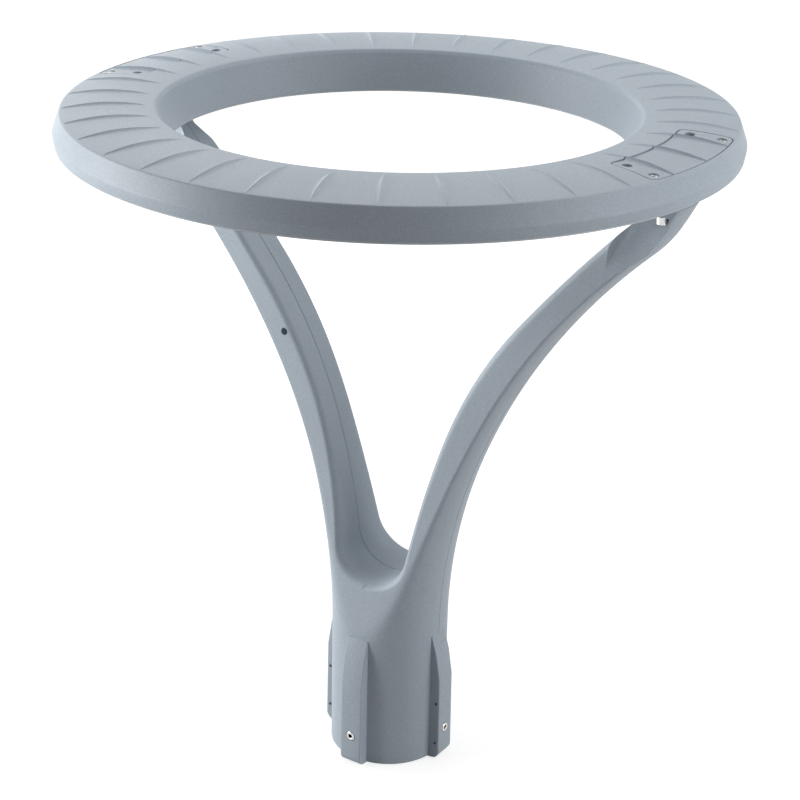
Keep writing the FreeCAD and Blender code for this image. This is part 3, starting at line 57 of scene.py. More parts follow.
# Fasteners and boards, in millimetres and degrees; reaches are distances from the post's axis.
SET_SCREW_FACE = 55.85
SET_SCREW_LENGTH = 15.5
SET_SCREW_HEIGHT = 26.5
CAP_SCREW_SPOTS = [(x, y) for x in (-220.0, 220.0) for y in (-13.5, 13.5)]
CAP_SCREW_SEAT = 496.0
REAR_SCREW_REACHES = (-13.0, 13.0)
REAR_SCREW_HEIGHT = 128.0
REAR_SCREW_SEAT = 8.0
# Reach of the cover screws and height of their seats above the ring's bottom edge.
COVER_SCREWS = ((213.0, 21.3), (235.5, 20.6))
COVER_SCREW_ANGLES = (-13.0, 13.0)
COVER_HEAD = 1.9
BOARD_MIDDLES = (54.0, 126.0, 234.0, 306.0)
BOARD_FACE = 530.9
# Turns of a screw whose head points up or down.
UP = (0.0, 0.0, 0.0)
DOWN = (math.pi, 0.0, 0.0)


# Sizes and colours that a user would change.
def size_setting(name, description, default, least=0.0):
    """A length that a user may change, given in millimetres."""
    return bpy.props.FloatProperty(
        name=name, description=description, default=default * MM, min=least * MM, unit="LENGTH")


def colour_setting(name, description, default):
    """A colour that a user may change."""
    return bpy.props.FloatVectorProperty(
        name=name, description=description, subtype="COLOR", default=default, min=0.0, max=1.0)


class CastingSizes(bpy.types.PropertyGroup):
    inner_rounding: size_setting("Inner edge rounding", "Radius of the arms' edges that face the gap", 5.0)
    outer_rounding: size_setting("Outer edge rounding", "Width of the soft edge round an arm's crown", 3.0)
    seam: size_setting("Seam groove", "Depth of the groove between the front casting and the rear cover", 0.6)
    pad_rounding: size_setting("Pad rounding", "Radius of the edges of the set screw pads", 1.3)
    pad_foot: size_setting("Pad foot rounding", "Radius of the pads' outer edge at the mouth", 7.0, 0.1)


class FastenerSizes(bpy.types.PropertyGroup):
    thread_pitch: size_setting("Set screw pitch", "Pitch of the set screws' thread", 1.25, 0.1)
    fine_pitch: size_setting("Cover screw pitch", "Pitch of the cover screws' thread", 0.7, 0.1)
    rim_bevel: size_setting("Head bevel", "Width of the bevel round a cover screw's head", 0.4)


class Finishes(bpy.types.PropertyGroup):
    paint: colour_setting("Powder coat", "Colour of the light blue-grey powder coat", (0.362, 0.415, 0.468))
    steel: colour_setting("Stainless steel", "Colour of the bright stainless screws", (0.64, 0.63, 0.62))
    silicone: colour_setting("Silicone", "Colour of the gaskets and the grommet", (0.035, 0.035, 0.038))
    opal: colour_setting("Opal diffuser", "Colour of the opal polycarbonate diffuser", (0.52, 0.55, 0.57))


def sizes():
    return bpy.context.scene.lamp_sizes


def fasteners():
    return bpy.context.scene.lamp_fasteners


def finishes():
    return bpy.context.scene.lamp_finishes


# Helpers for node trees.
def fill(tree, socket, value):
    """Links an output to a socket, or writes a constant into it."""
    if isinstance(value, bpy.types.NodeSocket):
        tree.links.new(value, socket)
    else:
        socket.default_value = value


def add_node(tree, kind, settings=None, out=0, **values):
    """Adds a node and returns one of its outputs.

    Its inputs are filled by name, or by number where the word is an underscore and a number.
    """
    made = tree.nodes.new(kind)
    for word, value in (settings or {}).items():
        setattr(made, word, value)
    for word, value in values.items():
        spot = int(word[1:]) if word[1:].isdigit() else word.replace("_", " ")
        fill(tree, made.inputs[spot], value)
    return made.outputs[out]


# Materials. Each pattern reads object coordinates, so it stays on the piece.
class Shader:
    """Builds one procedural material, node by node."""

    def __init__(self, name, colour, roughness, metallic=0.0, specular=0.5):
        self.material = bpy.data.materials.new(name)
        self.material.use_nodes = True
        self.tree = self.material.node_tree
        self.shader = self.tree.nodes["Principled BSDF"]
        self.put(Base_Color=(*colour, 1.0), Roughness=roughness, Metallic=metallic,
                 Specular_IOR_Level=specular)
        self.place = self.node("ShaderNodeTexCoord", out="Object")
        self.height = None

    def put(self, **values):
        """Fills inputs of the surface shader by name."""
        for word, value in values.items():
            fill(self.tree, self.shader.inputs[word.replace("_", " ")], value)

    def node(self, kind, settings=None, out=0, **values):
        return add_node(self.tree, kind, settings, out, **values)

    def stretched(self, scale):
        """Returns the object coordinates, stretched along the axes."""
        return self.node("ShaderNodeMapping", Scale=scale, Vector=self.place)

    def noise(self, scale, detail=2.0, place=None):
        return self.node("ShaderNodeTexNoise", out="Fac", Scale=scale, Detail=detail,
                         Vector=place or self.place)

    def reach(self):
        """Returns the distance from the post's axis."""
        flat = self.stretched((1.0, 1.0, 0.0))
        return self.node("ShaderNodeVectorMath", {"operation": "LENGTH"}, "Value", _0=flat)

    def cells(self, scale):
        return self.node("ShaderNodeTexVoronoi", out="Distance", Scale=scale, Vector=self.place)

    def spread(self, value, low, high, start=0.0, end=1.0):
        """Maps a value onto another range."""
        return self.node("ShaderNodeMapRange", out="Result", Value=value, From_Min=start, From_Max=end,
                         To_Min=low, To_Max=high)

    def mottled(self, value, dark, light, start=0.3, end=0.7):
        """Returns a colour that swings between two shades along with a value."""
        ramp = self.tree.nodes.new("ShaderNodeValToRGB")
        for element, position, colour in zip(ramp.color_ramp.elements, (start, end), (dark, light)):
            element.position = position
            element.color = (*colour, 1.0)
        fill(self.tree, ramp.inputs["Fac"], value)
        return ramp.outputs["Color"]

    def blend(self, first, second, share):
        return self.node("ShaderNodeMix", {"data_type": "RGBA"}, "Result", Factor=share, A=first, B=second)

    def bump(self, value, distance, strength=1.0):
        """Adds fine relief on top of what is there."""
        values = {"Distance": distance, "Strength": strength, "Height": value}
        if self.height is not None:
            values["Normal"] = self.height
        self.height = self.node("ShaderNodeBump", out="Normal", **values)
        self.put(Normal=self.height)


def shade(colour, factor):
    """Makes a colour lighter or darker."""
    return tuple(min(1.0, part * factor) for part in colour)


def powder_coat():
    """Light blue-grey fine-textured powder coat: orange peel, fine speckle, faint clouds."""
    colour = tuple(finishes().paint)
    coat = Shader("powder_coat", colour, 0.5, specular=0.4)
    clouds = coat.mottled(coat.noise(14.0, 3.0), shade(colour, 0.95), shade(colour, 1.04))
    speckle = coat.mottled(coat.noise(1500.0, 2.0), shade(colour, 0.74), shade(colour, 1.22), 0.36, 0.64)
    coat.put(Base_Color=coat.blend(clouds, speckle, 0.5))
    coat.put(Roughness=coat.spread(coat.noise(900.0), 0.42, 0.6, 0.3, 0.7))
    coat.bump(coat.noise(420.0, 1.0), 0.10 * MM, 0.5)
    coat.bump(coat.noise(1600.0, 2.0), 0.06 * MM, 0.6)
    return coat.material


def stainless():
    """Bright turned stainless steel with faint drawing marks."""
    colour = tuple(finishes().steel)
    steel = Shader("stainless_steel", colour, 0.18, metallic=1.0)
    marks = steel.noise(900.0, 3.0, steel.stretched((1.0, 1.0, 6.0)))
    steel.put(Base_Color=steel.mottled(marks, shade(colour, 0.9), shade(colour, 1.06)))
    steel.put(Roughness=steel.spread(marks, 0.14, 0.28, 0.3, 0.7))
    steel.bump(marks, 0.01 * MM, 0.35)
    return steel.material


def set_screw_steel_socket_shade():
    """The same steel for the set screws, with painted shade: near black inside their sockets, which lie
    nearer to the axis.
    """
    colour = tuple(finishes().steel)
    steel = Shader("set_screw_steel_socket_shade", colour, 0.18, metallic=1.0)
    face = SET_SCREW_FACE * MM
    # painted shade: just inside the screw's face the steel colour falls to near black, where shade lies in
    # the socket
    share = steel.spread(steel.reach(), 0.0, 1.0, face - 1.0 * MM, face - 0.5 * MM)
    steel.put(Base_Color=steel.mottled(share, (0.02, 0.02, 0.022), colour, 0.0, 1.0))
    marks = steel.noise(900.0, 3.0)
    steel.put(Roughness=steel.spread(marks, 0.14, 0.28, 0.3, 0.7))
    steel.bump(marks, 0.01 * MM, 0.35)
    return steel.material


def silicone():
    """Dark silicone rubber with a faint bloom."""
    colour = tuple(finishes().silicone)
    rubber = Shader("silicone_rubber", colour, 0.7, specular=0.35)
    bloom = rubber.noise(160.0, 3.0)
    rubber.put(Base_Color=rubber.mottled(bloom, colour, shade(colour, 1.6)))
    rubber.put(Roughness=rubber.spread(bloom, 0.6, 0.8, 0.3, 0.7))
    rubber.bump(rubber.noise(1200.0), 0.03 * MM, 0.4)
    return rubber.material


def opal():
    """Opal polycarbonate: milky, softly glossy, a little light passes below the surface."""
    colour = tuple(finishes().opal)
    plastic = Shader("opal_polycarbonate", colour, 0.32)
    clouds = plastic.noise(30.0, 2.0)
    plastic.put(Base_Color=plastic.mottled(clouds, shade(colour, 0.97), shade(colour, 1.02)))
    plastic.put(Roughness=plastic.spread(clouds, 0.28, 0.38, 0.3, 0.7))
    glow_depth = 4.0 * MM
    plastic.put(Subsurface_Weight=0.25, Subsurface_Radius=(glow_depth,) * 3, Subsurface_Scale=1.0)
    plastic.bump(plastic.noise(900.0), 0.02 * MM, 0.3)
    return plastic.material


def solder_mask():
    """White solder mask over faint copper tracks."""
    mask = Shader("white_solder_mask", (0.78, 0.78, 0.75), 0.45)
    tracks = mask.cells(160.0)
    mask.put(Base_Color=mask.mottled(tracks, (0.70, 0.70, 0.66), (0.80, 0.80, 0.77), 0.0, 0.35))
    mask.put(Roughness=mask.spread(mask.noise(700.0), 0.38, 0.52, 0.3, 0.7))
    mask.bump(tracks, 0.03 * MM, 0.5)
    return mask.material


def phosphor():
    """Yellow phosphor face of an LED package."""
    face = Shader("phosphor_face", (0.86, 0.68, 0.18), 0.3)
    grain = face.noise(2600.0, 3.0)
    face.put(Base_Color=face.mottled(grain, (0.80, 0.58, 0.12), (0.90, 0.76, 0.26)))
    face.bump(grain, 0.02 * MM, 0.4)
    return face.material


def moulded(name, colour):
    """Plain moulded plastic with a spark-eroded grain."""
    plastic = Shader(name, colour, 0.5)
    grain = plastic.noise(1100.0, 2.0)
    plastic.put(Base_Color=plastic.mottled(grain, shade(colour, 0.94), shade(colour, 1.04)))
    plastic.put(Roughness=plastic.spread(grain, 0.42, 0.6, 0.3, 0.7))
    plastic.bump(grain, 0.05 * MM, 0.5)
    return plastic.material


MATERIALS = {}


def material(name):
    """Returns a finish, made the first time it is needed."""
    makers = {
        "powder_coat": powder_coat,
        "stainless": stainless,
        "set_screw_steel_socket_shade": set_screw_steel_socket_shade,
        "silicone": silicone,
        "opal": opal,
        "solder_mask": solder_mask,
        "phosphor": phosphor,
        "package_frame": lambda: moulded("package_frame", (0.74, 0.74, 0.72)),
        "driver_case": lambda: moulded("driver_case", (0.62, 0.63, 0.62)),
        "terminal": lambda: moulded("terminal_plastic", (0.60, 0.61, 0.59)),
    }
    if name not in MATERIALS:
        MATERIALS[name] = makers[name]()
    return MATERIALS[name]


# Mesh tools.
def add_object(name, mesh):
    """Puts a mesh into the scene as an object at the origin."""
    piece = bpy.data.objects.new(name, mesh)
    bpy.context.scene.collection.objects.link(piece)
    return piece


def into_mesh(form, name):
    """Turns a bmesh into a mesh and frees it."""
    mesh = bpy.data.meshes.new(name)
    form.to_mesh(mesh)
    form.free()
    return mesh


def solid(name, form):
    """Puts a bmesh into the scene as an object and frees it."""
    return add_object(name, into_mesh(form, name))


def skin(form, rows, loop=False):
    """Joins closed rows of points with quads; the first and last row are capped, or joined for a loop."""
    for first, second in zip(rows, rows[1:] + rows[:1] if loop else rows[1:]):
        for number in range(len(first)):
            after = (number + 1) % len(first)
            form.faces.new((first[number], first[after], second[after], second[number]))
    if not loop:
        form.faces.new(rows[0][::-1])
        form.faces.new(rows[-1])
    bmesh.ops.recalc_face_normals(form, faces=form.faces)


def crisp(mesh, degrees=32.0):
    """Shades a mesh smooth, apart from its edges that turn sharper than the angle."""
    form = bmesh.new()
    form.from_mesh(mesh)
    for face in form.faces:
        face.smooth = True
    limit = math.radians(degrees)
    for edge in form.edges:
        edge.smooth = len(edge.link_faces) == 2 and edge.calc_face_angle(0.0) < limit
    form.to_mesh(mesh)
    form.free()


def baked(piece):
    """Applies the piece's modifiers and takes them off."""
    bpy.context.view_layer.update()
    seen = piece.evaluated_get(bpy.context.evaluated_depsgraph_get())
    mesh = bpy.data.meshes.new_from_object(seen)
    mesh.name = piece.name
    piece.modifiers.clear()
    piece.data = mesh


def joined(target, tool, kind, folded=False):
    """Cuts, joins or keeps the common part of two closed pieces; the tool is removed.

    The slower reading of folded pieces is for a target whose surface crosses itself.
    """
    modifier = target.modifiers.new("join", "BOOLEAN")
    modifier.operation = kind
    modifier.solver = "EXACT"
    modifier.use_self = folded
    modifier.object = tool
    baked(target)
    bpy.data.objects.remove(tool)


def finished(piece, finish, slot, *nodes):
    """Gives a piece its finish, lets it ride on the body and stand for its CAD nodes."""
    piece.data.materials.clear()
    piece.data.materials.append(material(finish))
    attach(piece, "root")
    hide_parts(*nodes)


def mm(*values):
    """Turns millimetres into metres."""
    return tuple(value * MM for value in values)


def rod(form, start, end, radius, sides=40):
    """Adds a closed round rod between two points."""
    start, end = Vector(start), Vector(end)
    turn = (end - start).to_track_quat("Z", "Y").to_matrix().to_4x4()
    middle = Matrix.Translation((start + end) / 2)
    bmesh.ops.create_cone(form, cap_ends=True, segments=sides, radius1=radius, radius2=radius,
                          depth=(end - start).length, matrix=middle @ turn)


def block(form, low, high):
    """Adds a closed box between two corners."""
    low, high = Vector(low), Vector(high)
    place = Matrix.Translation((low + high) / 2) @ Matrix.Diagonal((*(high - low), 1.0))
    bmesh.ops.create_cube(form, size=1.0, matrix=place)


# Geometry Nodes trees for what repeats.
class Tree:
    """Builds one Geometry Nodes tree with named inputs."""

    def __init__(self, name, inputs):
        self.tree = bpy.data.node_groups.new(name, "GeometryNodeTree")
        face = self.tree.interface
        face.new_socket("Geometry", in_out="INPUT", socket_type="NodeSocketGeometry")
        for word, kind, value in inputs:
            socket = face.new_socket(word, in_out="INPUT", socket_type="NodeSocket" + kind)
            if value is not None:
                socket.default_value = value
        face.new_socket("Geometry", in_out="OUTPUT", socket_type="NodeSocketGeometry")
        self.start = self.tree.nodes.new("NodeGroupInput")
        self.end = self.tree.nodes.new("NodeGroupOutput")

    def given(self, word):
        """Output socket of one of the tree's named inputs."""
        return self.start.outputs[word]

    def node(self, kind, settings=None, out=0, **values):
        return add_node(self.tree, kind, settings, out, **values)

    def sum(self, kind, *values):
        """One step of arithmetic."""
        return self.node("ShaderNodeMath", {"operation": kind},
                         **{f"_{number}": value for number, value in enumerate(values)})

    def plus(self, first, second):
        return self.sum("ADD", first, second)

    def minus(self, first, second):
        return self.sum("SUBTRACT", first, second)

    def times(self, first, second):
        return self.sum("MULTIPLY", first, second)

    def over(self, first, second):
        return self.sum("DIVIDE", first, second)

    def spot(self, x=0.0, y=0.0, z=0.0):
        return self.node("ShaderNodeCombineXYZ", X=x, Y=y, Z=z)

    def together(self, *parts):
        """Joins shapes without merging them."""
        made = self.tree.nodes.new("GeometryNodeJoinGeometry")
        for part in parts:
            self.tree.links.new(part, made.inputs[0])
        return made.outputs[0]

    def moved(self, shape, **values):
        return self.node("GeometryNodeTransform", Geometry=shape, **values)

    def ends_in(self, shape):
        """Closes the tree with Realize Instances and Set Material."""
        real = self.node("GeometryNodeRealizeInstances", Geometry=shape)
        coated = self.node("GeometryNodeSetMaterial", Geometry=real, Material=self.given("Finish"))
        self.tree.links.new(coated, self.end.inputs[0])
        return self.tree


def grown(piece, tree, **values):
    """Runs a tree on a piece with the given inputs and keeps the plain mesh that comes out."""
    modifier = piece.modifiers.new("tree", "NODES")
    modifier.node_group = tree
    for item in tree.interface.items_tree:
        if item.in_out == "INPUT" and item.name in values:
            modifier[item.identifier] = values.pop(item.name)
    if values:
        raise ValueError(f"{tree.name} has no input named {sorted(values)}")
    baked(piece)
    return piece


def spots_mesh(name, spots):
    """Makes a mesh of loose points, each with the turn that its screw gets."""
    mesh = bpy.data.meshes.new(name)
    mesh.from_pydata([place for place, turn in spots], [], [])
    turns = mesh.attributes.new("turn", "FLOAT_VECTOR", "POINT")
    for item, (place, turn) in zip(turns.data, spots):
        item.vector = turn
    return add_object(name, mesh)


SCREW_WORDS = ("Head Radius", "Head Height", "Rim Bevel", "Socket Width", "Socket Depth", "Core Radius",
               "Core Length", "Thread Radius", "Thread Start", "Thread Length", "Thread Pitch")


def screw_sizes(head, bevel, socket, core, thread):
    """Names a screw's sizes, given in millimetres.

    Head: radius, height. Socket: width, depth. Core: radius, length. Thread: radius, start, length, pitch.
    """
    return dict(zip(SCREW_WORDS, mm(*head, bevel, *socket, *core, *thread)))


def screw_tree():
    """A screw on every point: head with a bevelled rim and a hexagon socket, core and thread.

    Its own zero is the plane under the head, and its head points up.
    """
    tree = Tree("hexagon_socket_screw", [
        *((word, "Float", 1.0 * MM) for word in SCREW_WORDS), ("Finish", "Material", None)])
    given = tree.given
    bevel = given("Rim Bevel")
    straight = tree.minus(given("Head Height"), bevel)
    barrel = tree.node("GeometryNodeMeshCylinder", Vertices=40, Radius=given("Head Radius"), Depth=straight)
    barrel = tree.moved(barrel, Translation=tree.spot(z=tree.times(straight, 0.5)))
    lip = tree.node("GeometryNodeMeshCone", Vertices=40, Radius_Bottom=given("Head Radius"),
                    Radius_Top=tree.minus(given("Head Radius"), bevel), Depth=bevel)
    lip = tree.moved(lip, Translation=tree.spot(z=straight))
    core = tree.node("GeometryNodeMeshCylinder", Vertices=24, Radius=given("Core Radius"),
                     Depth=given("Core Length"))
    core = tree.moved(core, Translation=tree.spot(z=tree.times(given("Core Length"), -0.5)))
    # the parts touch and overlap, so both steps have to read them as folded meshes
    body = tree.node("GeometryNodeMeshBoolean", {"operation": "UNION", "solver": "EXACT"},
                     _1=tree.together(barrel, lip, core), Self_Intersection=True)
    # a hexagon's corners reach further out than its flats
    corner = tree.over(given("Socket Width"), math.sqrt(3.0))
    socket = tree.node("GeometryNodeMeshCylinder", Vertices=6, Radius=corner,
                       Depth=tree.times(given("Socket Depth"), 2.0))
    mouth = tree.node("GeometryNodeMeshCone", Vertices=24, Radius_Bottom=tree.times(corner, 0.86),
                      Radius_Top=tree.times(corner, 1.06), Depth=tree.times(corner, 0.2))
    mouth = tree.moved(mouth, Translation=tree.spot(z=tree.times(corner, -0.16)))
    drill = tree.together(socket, mouth)
    drill = tree.moved(drill, Translation=tree.spot(z=given("Head Height")))
    head = tree.node("GeometryNodeMeshBoolean", {"operation": "DIFFERENCE", "solver": "EXACT"},
                     _0=body, _1=drill, Self_Intersection=True)
    # the thread is a ridge that winds round the core
    line = tree.node("GeometryNodeCurveSpiral", Resolution=20, Start_Radius=given("Thread Radius"),
                     End_Radius=given("Thread Radius"), Height=given("Thread Length"),
                     Rotations=tree.over(given("Thread Length"), given("Thread Pitch")))
    edge = tree.node("GeometryNodeCurvePrimitiveCircle", Resolution=4,
                     Radius=tree.times(given("Thread Pitch"), 0.36))
    ridge = tree.node("GeometryNodeCurveToMesh", Curve=line, Profile_Curve=edge, Fill_Caps=True)
    ridge = tree.moved(ridge, Translation=tree.spot(z=given("Thread Start")))
    turn = tree.node("GeometryNodeInputNamedAttribute", {"data_type": "FLOAT_VECTOR"}, Name="turn")
    turn = tree.node("FunctionNodeEulerToRotation", Euler=turn)
    placed = tree.node("GeometryNodeInstanceOnPoints", Points=given("Geometry"),
                       Instance=tree.together(head, ridge), Rotation=turn)
    return tree.ends_in(placed)


def washer_tree():
    """A flat washer on every point, turned from its mean radius, width and thickness."""
    tree = Tree("washer", [("Mean Radius", "Float", 3.6 * MM), ("Width", "Float", 2.6 * MM),
                           ("Thickness", "Float", 1.0 * MM), ("Finish", "Material", None)])
    given = tree.given
    line = tree.node("GeometryNodeCurvePrimitiveCircle", Resolution=40, Radius=given("Mean Radius"))
    edge = tree.node("GeometryNodeCurvePrimitiveQuadrilateral", Width=given("Width"),
                     Height=given("Thickness"))
    edge = tree.node("GeometryNodeFilletCurve", {"mode": "POLY"}, Curve=edge, Count=3, Radius=0.18 * MM)
    ring = tree.node("GeometryNodeCurveToMesh", Curve=line, Profile_Curve=edge)
    placed = tree.node("GeometryNodeInstanceOnPoints", Points=given("Geometry"), Instance=ring)
    return tree.ends_in(placed)


def package_tree():
    """Two rows of LED packages on an arc board, each a white frame with a yellow face turned down."""
    tree = Tree("led_packages", [
        ("Count in Row", "Int", 9), ("Pitch Angle", "Float", math.radians(7.2)),
        ("Middle Angle", "Float", 0.0), ("Inner Radius", "Float", 197.5 * MM),
        ("Outer Radius", "Float", 223.5 * MM), ("Top Height", "Float", BOARD_FACE * MM),
        ("Width", "Float", 3.5 * MM), ("Thickness", "Float", 0.8 * MM),
        ("Finish", "Material", None), ("Face Finish", "Material", None)])
    given = tree.given
    count = given("Count in Row")
    index = tree.node("GeometryNodeInputIndex")
    row = tree.sum("FLOOR", tree.over(index, count))
    column = tree.minus(index, tree.times(row, count))
    centred = tree.minus(column, tree.times(tree.minus(count, 1.0), 0.5))
    angle = tree.plus(given("Middle Angle"), tree.times(centred, given("Pitch Angle")))
    step = tree.minus(given("Outer Radius"), given("Inner Radius"))
    radius = tree.plus(given("Inner Radius"), tree.times(row, step))
    place = tree.spot(tree.times(radius, tree.sum("COSINE", angle)),
                      tree.times(radius, tree.sum("SINE", angle)), given("Top Height"))
    points = tree.node("GeometryNodePoints", Count=tree.times(count, 2.0), Position=place)
    # the frame is a tray, open downwards, and the face lies a little inside it
    width, deep = given("Width"), given("Thickness")
    frame_line = tree.node("GeometryNodeCurvePrimitiveQuadrilateral", Width=tree.times(width, 0.86),
                           Height=tree.times(width, 0.86))
    rim = tree.node("GeometryNodeCurvePrimitiveQuadrilateral", Width=tree.times(width, 0.14),
                    Height=deep)
    rim = tree.node("GeometryNodeCurveToMesh", Curve=frame_line, Profile_Curve=rim)
    rim = tree.moved(rim, Translation=tree.spot(z=tree.times(deep, -0.5)))
    face = tree.node("GeometryNodeMeshCube", Size=tree.spot(
        tree.times(width, 0.8), tree.times(width, 0.8), tree.times(deep, 0.8)))
    face = tree.moved(face, Translation=tree.spot(z=tree.times(deep, -0.4)))
    face = tree.node("GeometryNodeStoreNamedAttribute", {"data_type": "BOOLEAN", "domain": "FACE"},
                     Geometry=face, Name="yellow", Value=True)
    turn = tree.node("FunctionNodeEulerToRotation", Euler=tree.spot(z=angle))
    placed = tree.node("GeometryNodeInstanceOnPoints", Points=points, Instance=tree.together(rim, face),
                       Rotation=turn)
    real = tree.node("GeometryNodeRealizeInstances", Geometry=placed)
    white = tree.node("GeometryNodeSetMaterial", Geometry=real, Material=given("Finish"))
    yellow = tree.node("GeometryNodeInputNamedAttribute", {"data_type": "BOOLEAN"}, Name="yellow")
    done = tree.node("GeometryNodeSetMaterial", Geometry=white, Selection=yellow,
                     Material=given("Face Finish"))
    tree.tree.links.new(done, tree.end.inputs[0])
    return tree.tree


def ridge_tree():
    """Raises radial ridges out of a dome: two hollow flanks that meet in a sharp crest.

    Only points that carry the mark "dome" move. A ridge's crest is an arc over the
    radius, so it runs out into the dome at both ends.
    """
    tree = Tree("radial_ridges", [
        ("Ridges", "Int", 36), ("Middle Radius", "Float", 209.5 * MM), ("Crest Height", "Float", 539.9 * MM),
        ("Crest Bow", "Float", 139.0 * MM), ("Half Width", "Float", 4.5 * MM), ("Rise", "Float", 1.5 * MM),
        ("Hollow", "Float", 2.35), ("Finish", "Material", None)])
    given = tree.given
    place = tree.tree.nodes.new("ShaderNodeSeparateXYZ")
    tree.tree.links.new(tree.node("GeometryNodeInputPosition"), place.inputs[0])
    x, y, z = place.outputs
    radius = tree.sum("SQRT", tree.plus(tree.times(x, x), tree.times(y, y)))
    pitch = tree.over(2 * math.pi, given("Ridges"))
    half = tree.times(pitch, 0.5)
    turn = tree.sum("FLOORED_MODULO", tree.plus(tree.sum("ARCTAN2", y, x), half), pitch)
    aside = tree.sum("ABSOLUTE", tree.times(radius, tree.sum("SINE", tree.minus(turn, half))))
    share = tree.sum("MINIMUM", tree.over(aside, given("Half Width")), 1.0)
    flank = tree.sum("POWER", tree.minus(1.0, share), given("Hollow"))
    fall = tree.times(given("Rise"), tree.minus(1.0, flank))
    off = tree.minus(radius, given("Middle Radius"))
    square = tree.minus(tree.times(given("Crest Bow"), given("Crest Bow")),
                      tree.times(off, off))
    arc = tree.minus(tree.sum("SQRT", square), given("Crest Bow"))
    crest = tree.plus(given("Crest Height"), arc)
    height = tree.sum("MAXIMUM", z, tree.minus(crest, fall))
    dome = tree.node("GeometryNodeInputNamedAttribute", {"data_type": "BOOLEAN"}, Name="dome")
    raised = tree.node("GeometryNodeSetPosition", Geometry=given("Geometry"), Selection=dome,
                       Position=tree.spot(x, y, height))
    return tree.ends_in(raised)


# The bracket: every curve of the arms lies in the XZ plane, in millimetres.
SLEEVE_RADIUS = 46.8
BORE_RADIUS = 40.0
BORE_DEPTH = 96.0
SEAM_HEIGHT = 103.0
ARM_TOP = 504.0
CROTCH_HEIGHT = 156.0
CROWN_FOOT = 112.7
PAD_HALF_WIDTH = 9.4


def smooth_run(points, heading, steps=24):
    """Samples arcs through the points, each leaving the one before it smoothly."""
    samples = [np.array(points[0], float)]
    heading = np.array(heading, float)
    heading /= np.linalg.norm(heading)
    for end in points[1:]:
        start = samples[-1]
        chord = np.array(end, float) - start
        side = np.array((-heading[1], heading[0]))
        across = chord @ side
        if abs(across) < 1e-9:
            samples.extend(start + chord * share for share in np.linspace(0, 1, steps + 1)[1:])
            continue
        centre = start + side * (chord @ chord / (2 * across))
        turn = 2 * math.atan2(across, chord @ heading)
        spoke = start - centre
        for share in np.linspace(0, 1, steps + 1)[1:]:
            cos, sin = math.cos(turn * share), math.sin(turn * share)
            samples.append(centre + (cos * spoke[0] - sin * spoke[1], sin * spoke[0] + cos * spoke[1]))
        cos, sin = math.cos(turn), math.sin(turn)
        heading = np.array((cos * heading[0] - sin * heading[1], sin * heading[0] + cos * heading[1]))
    return np.array(samples)


# Shift of the crowned outer face, then the inner face, as reach and height.
CROWN_PATH = smooth_run(
    [(0, SEAM_HEIGHT), (0, CROWN_FOOT), (31, 272.71), (162, 462.7), (179.6, 485), (189.71, ARM_TOP)], (0, 1))
INNER_PATH = smooth_run(
    [(0, CROTCH_HEIGHT), (30.9, 182.9), (50.8, 272.71), (114, 392.7), (214.6, ARM_TOP)], (1, 0))
# Half depth of the arms, front to back, which flares out towards the sleeve.
FLARE = smooth_run([(19.6, 312.7), (50, 101.6)], (-0.4, -80))[::-1]
DEPTHS = np.vstack([FLARE, [(20, 392.7), (18, 485), (18, 520)]])


def crown_shift(height):
    return np.interp(height, CROWN_PATH[:, 1], CROWN_PATH[:, 0])


def half_depth(height):
    return np.interp(height, DEPTHS[:, 1], DEPTHS[:, 0])


def along(path, shares):
    """Points of a path at shares of its length."""
    lengths = np.r_[0, np.cumsum(np.linalg.norm(np.diff(path, axis=0), axis=1))]
    spots = np.array(shares) * lengths[-1]
    return np.stack([np.interp(spots, lengths, path[:, 0]), np.interp(spots, lengths, path[:, 1])], -1)


def distance_to(path, points):
    """Distance of each point from a path."""
    start, end = path[:-1], path[1:]
    run = end - start
    gaps = points[:, None] - start[None]
    share = np.clip((gaps * run).sum(-1) / (run * run).sum(-1), 0, 1)
    return np.linalg.norm(gaps - share[..., None] * run, axis=-1).min(1)


def soft_least(first, second, width):
    """The lesser of two values, with a soft change from one to the other."""
    share = np.clip(0.5 + 0.5 * (second - first) / width, 0, 1)
    return second * (1 - share) + first * share - width * share * (1 - share)


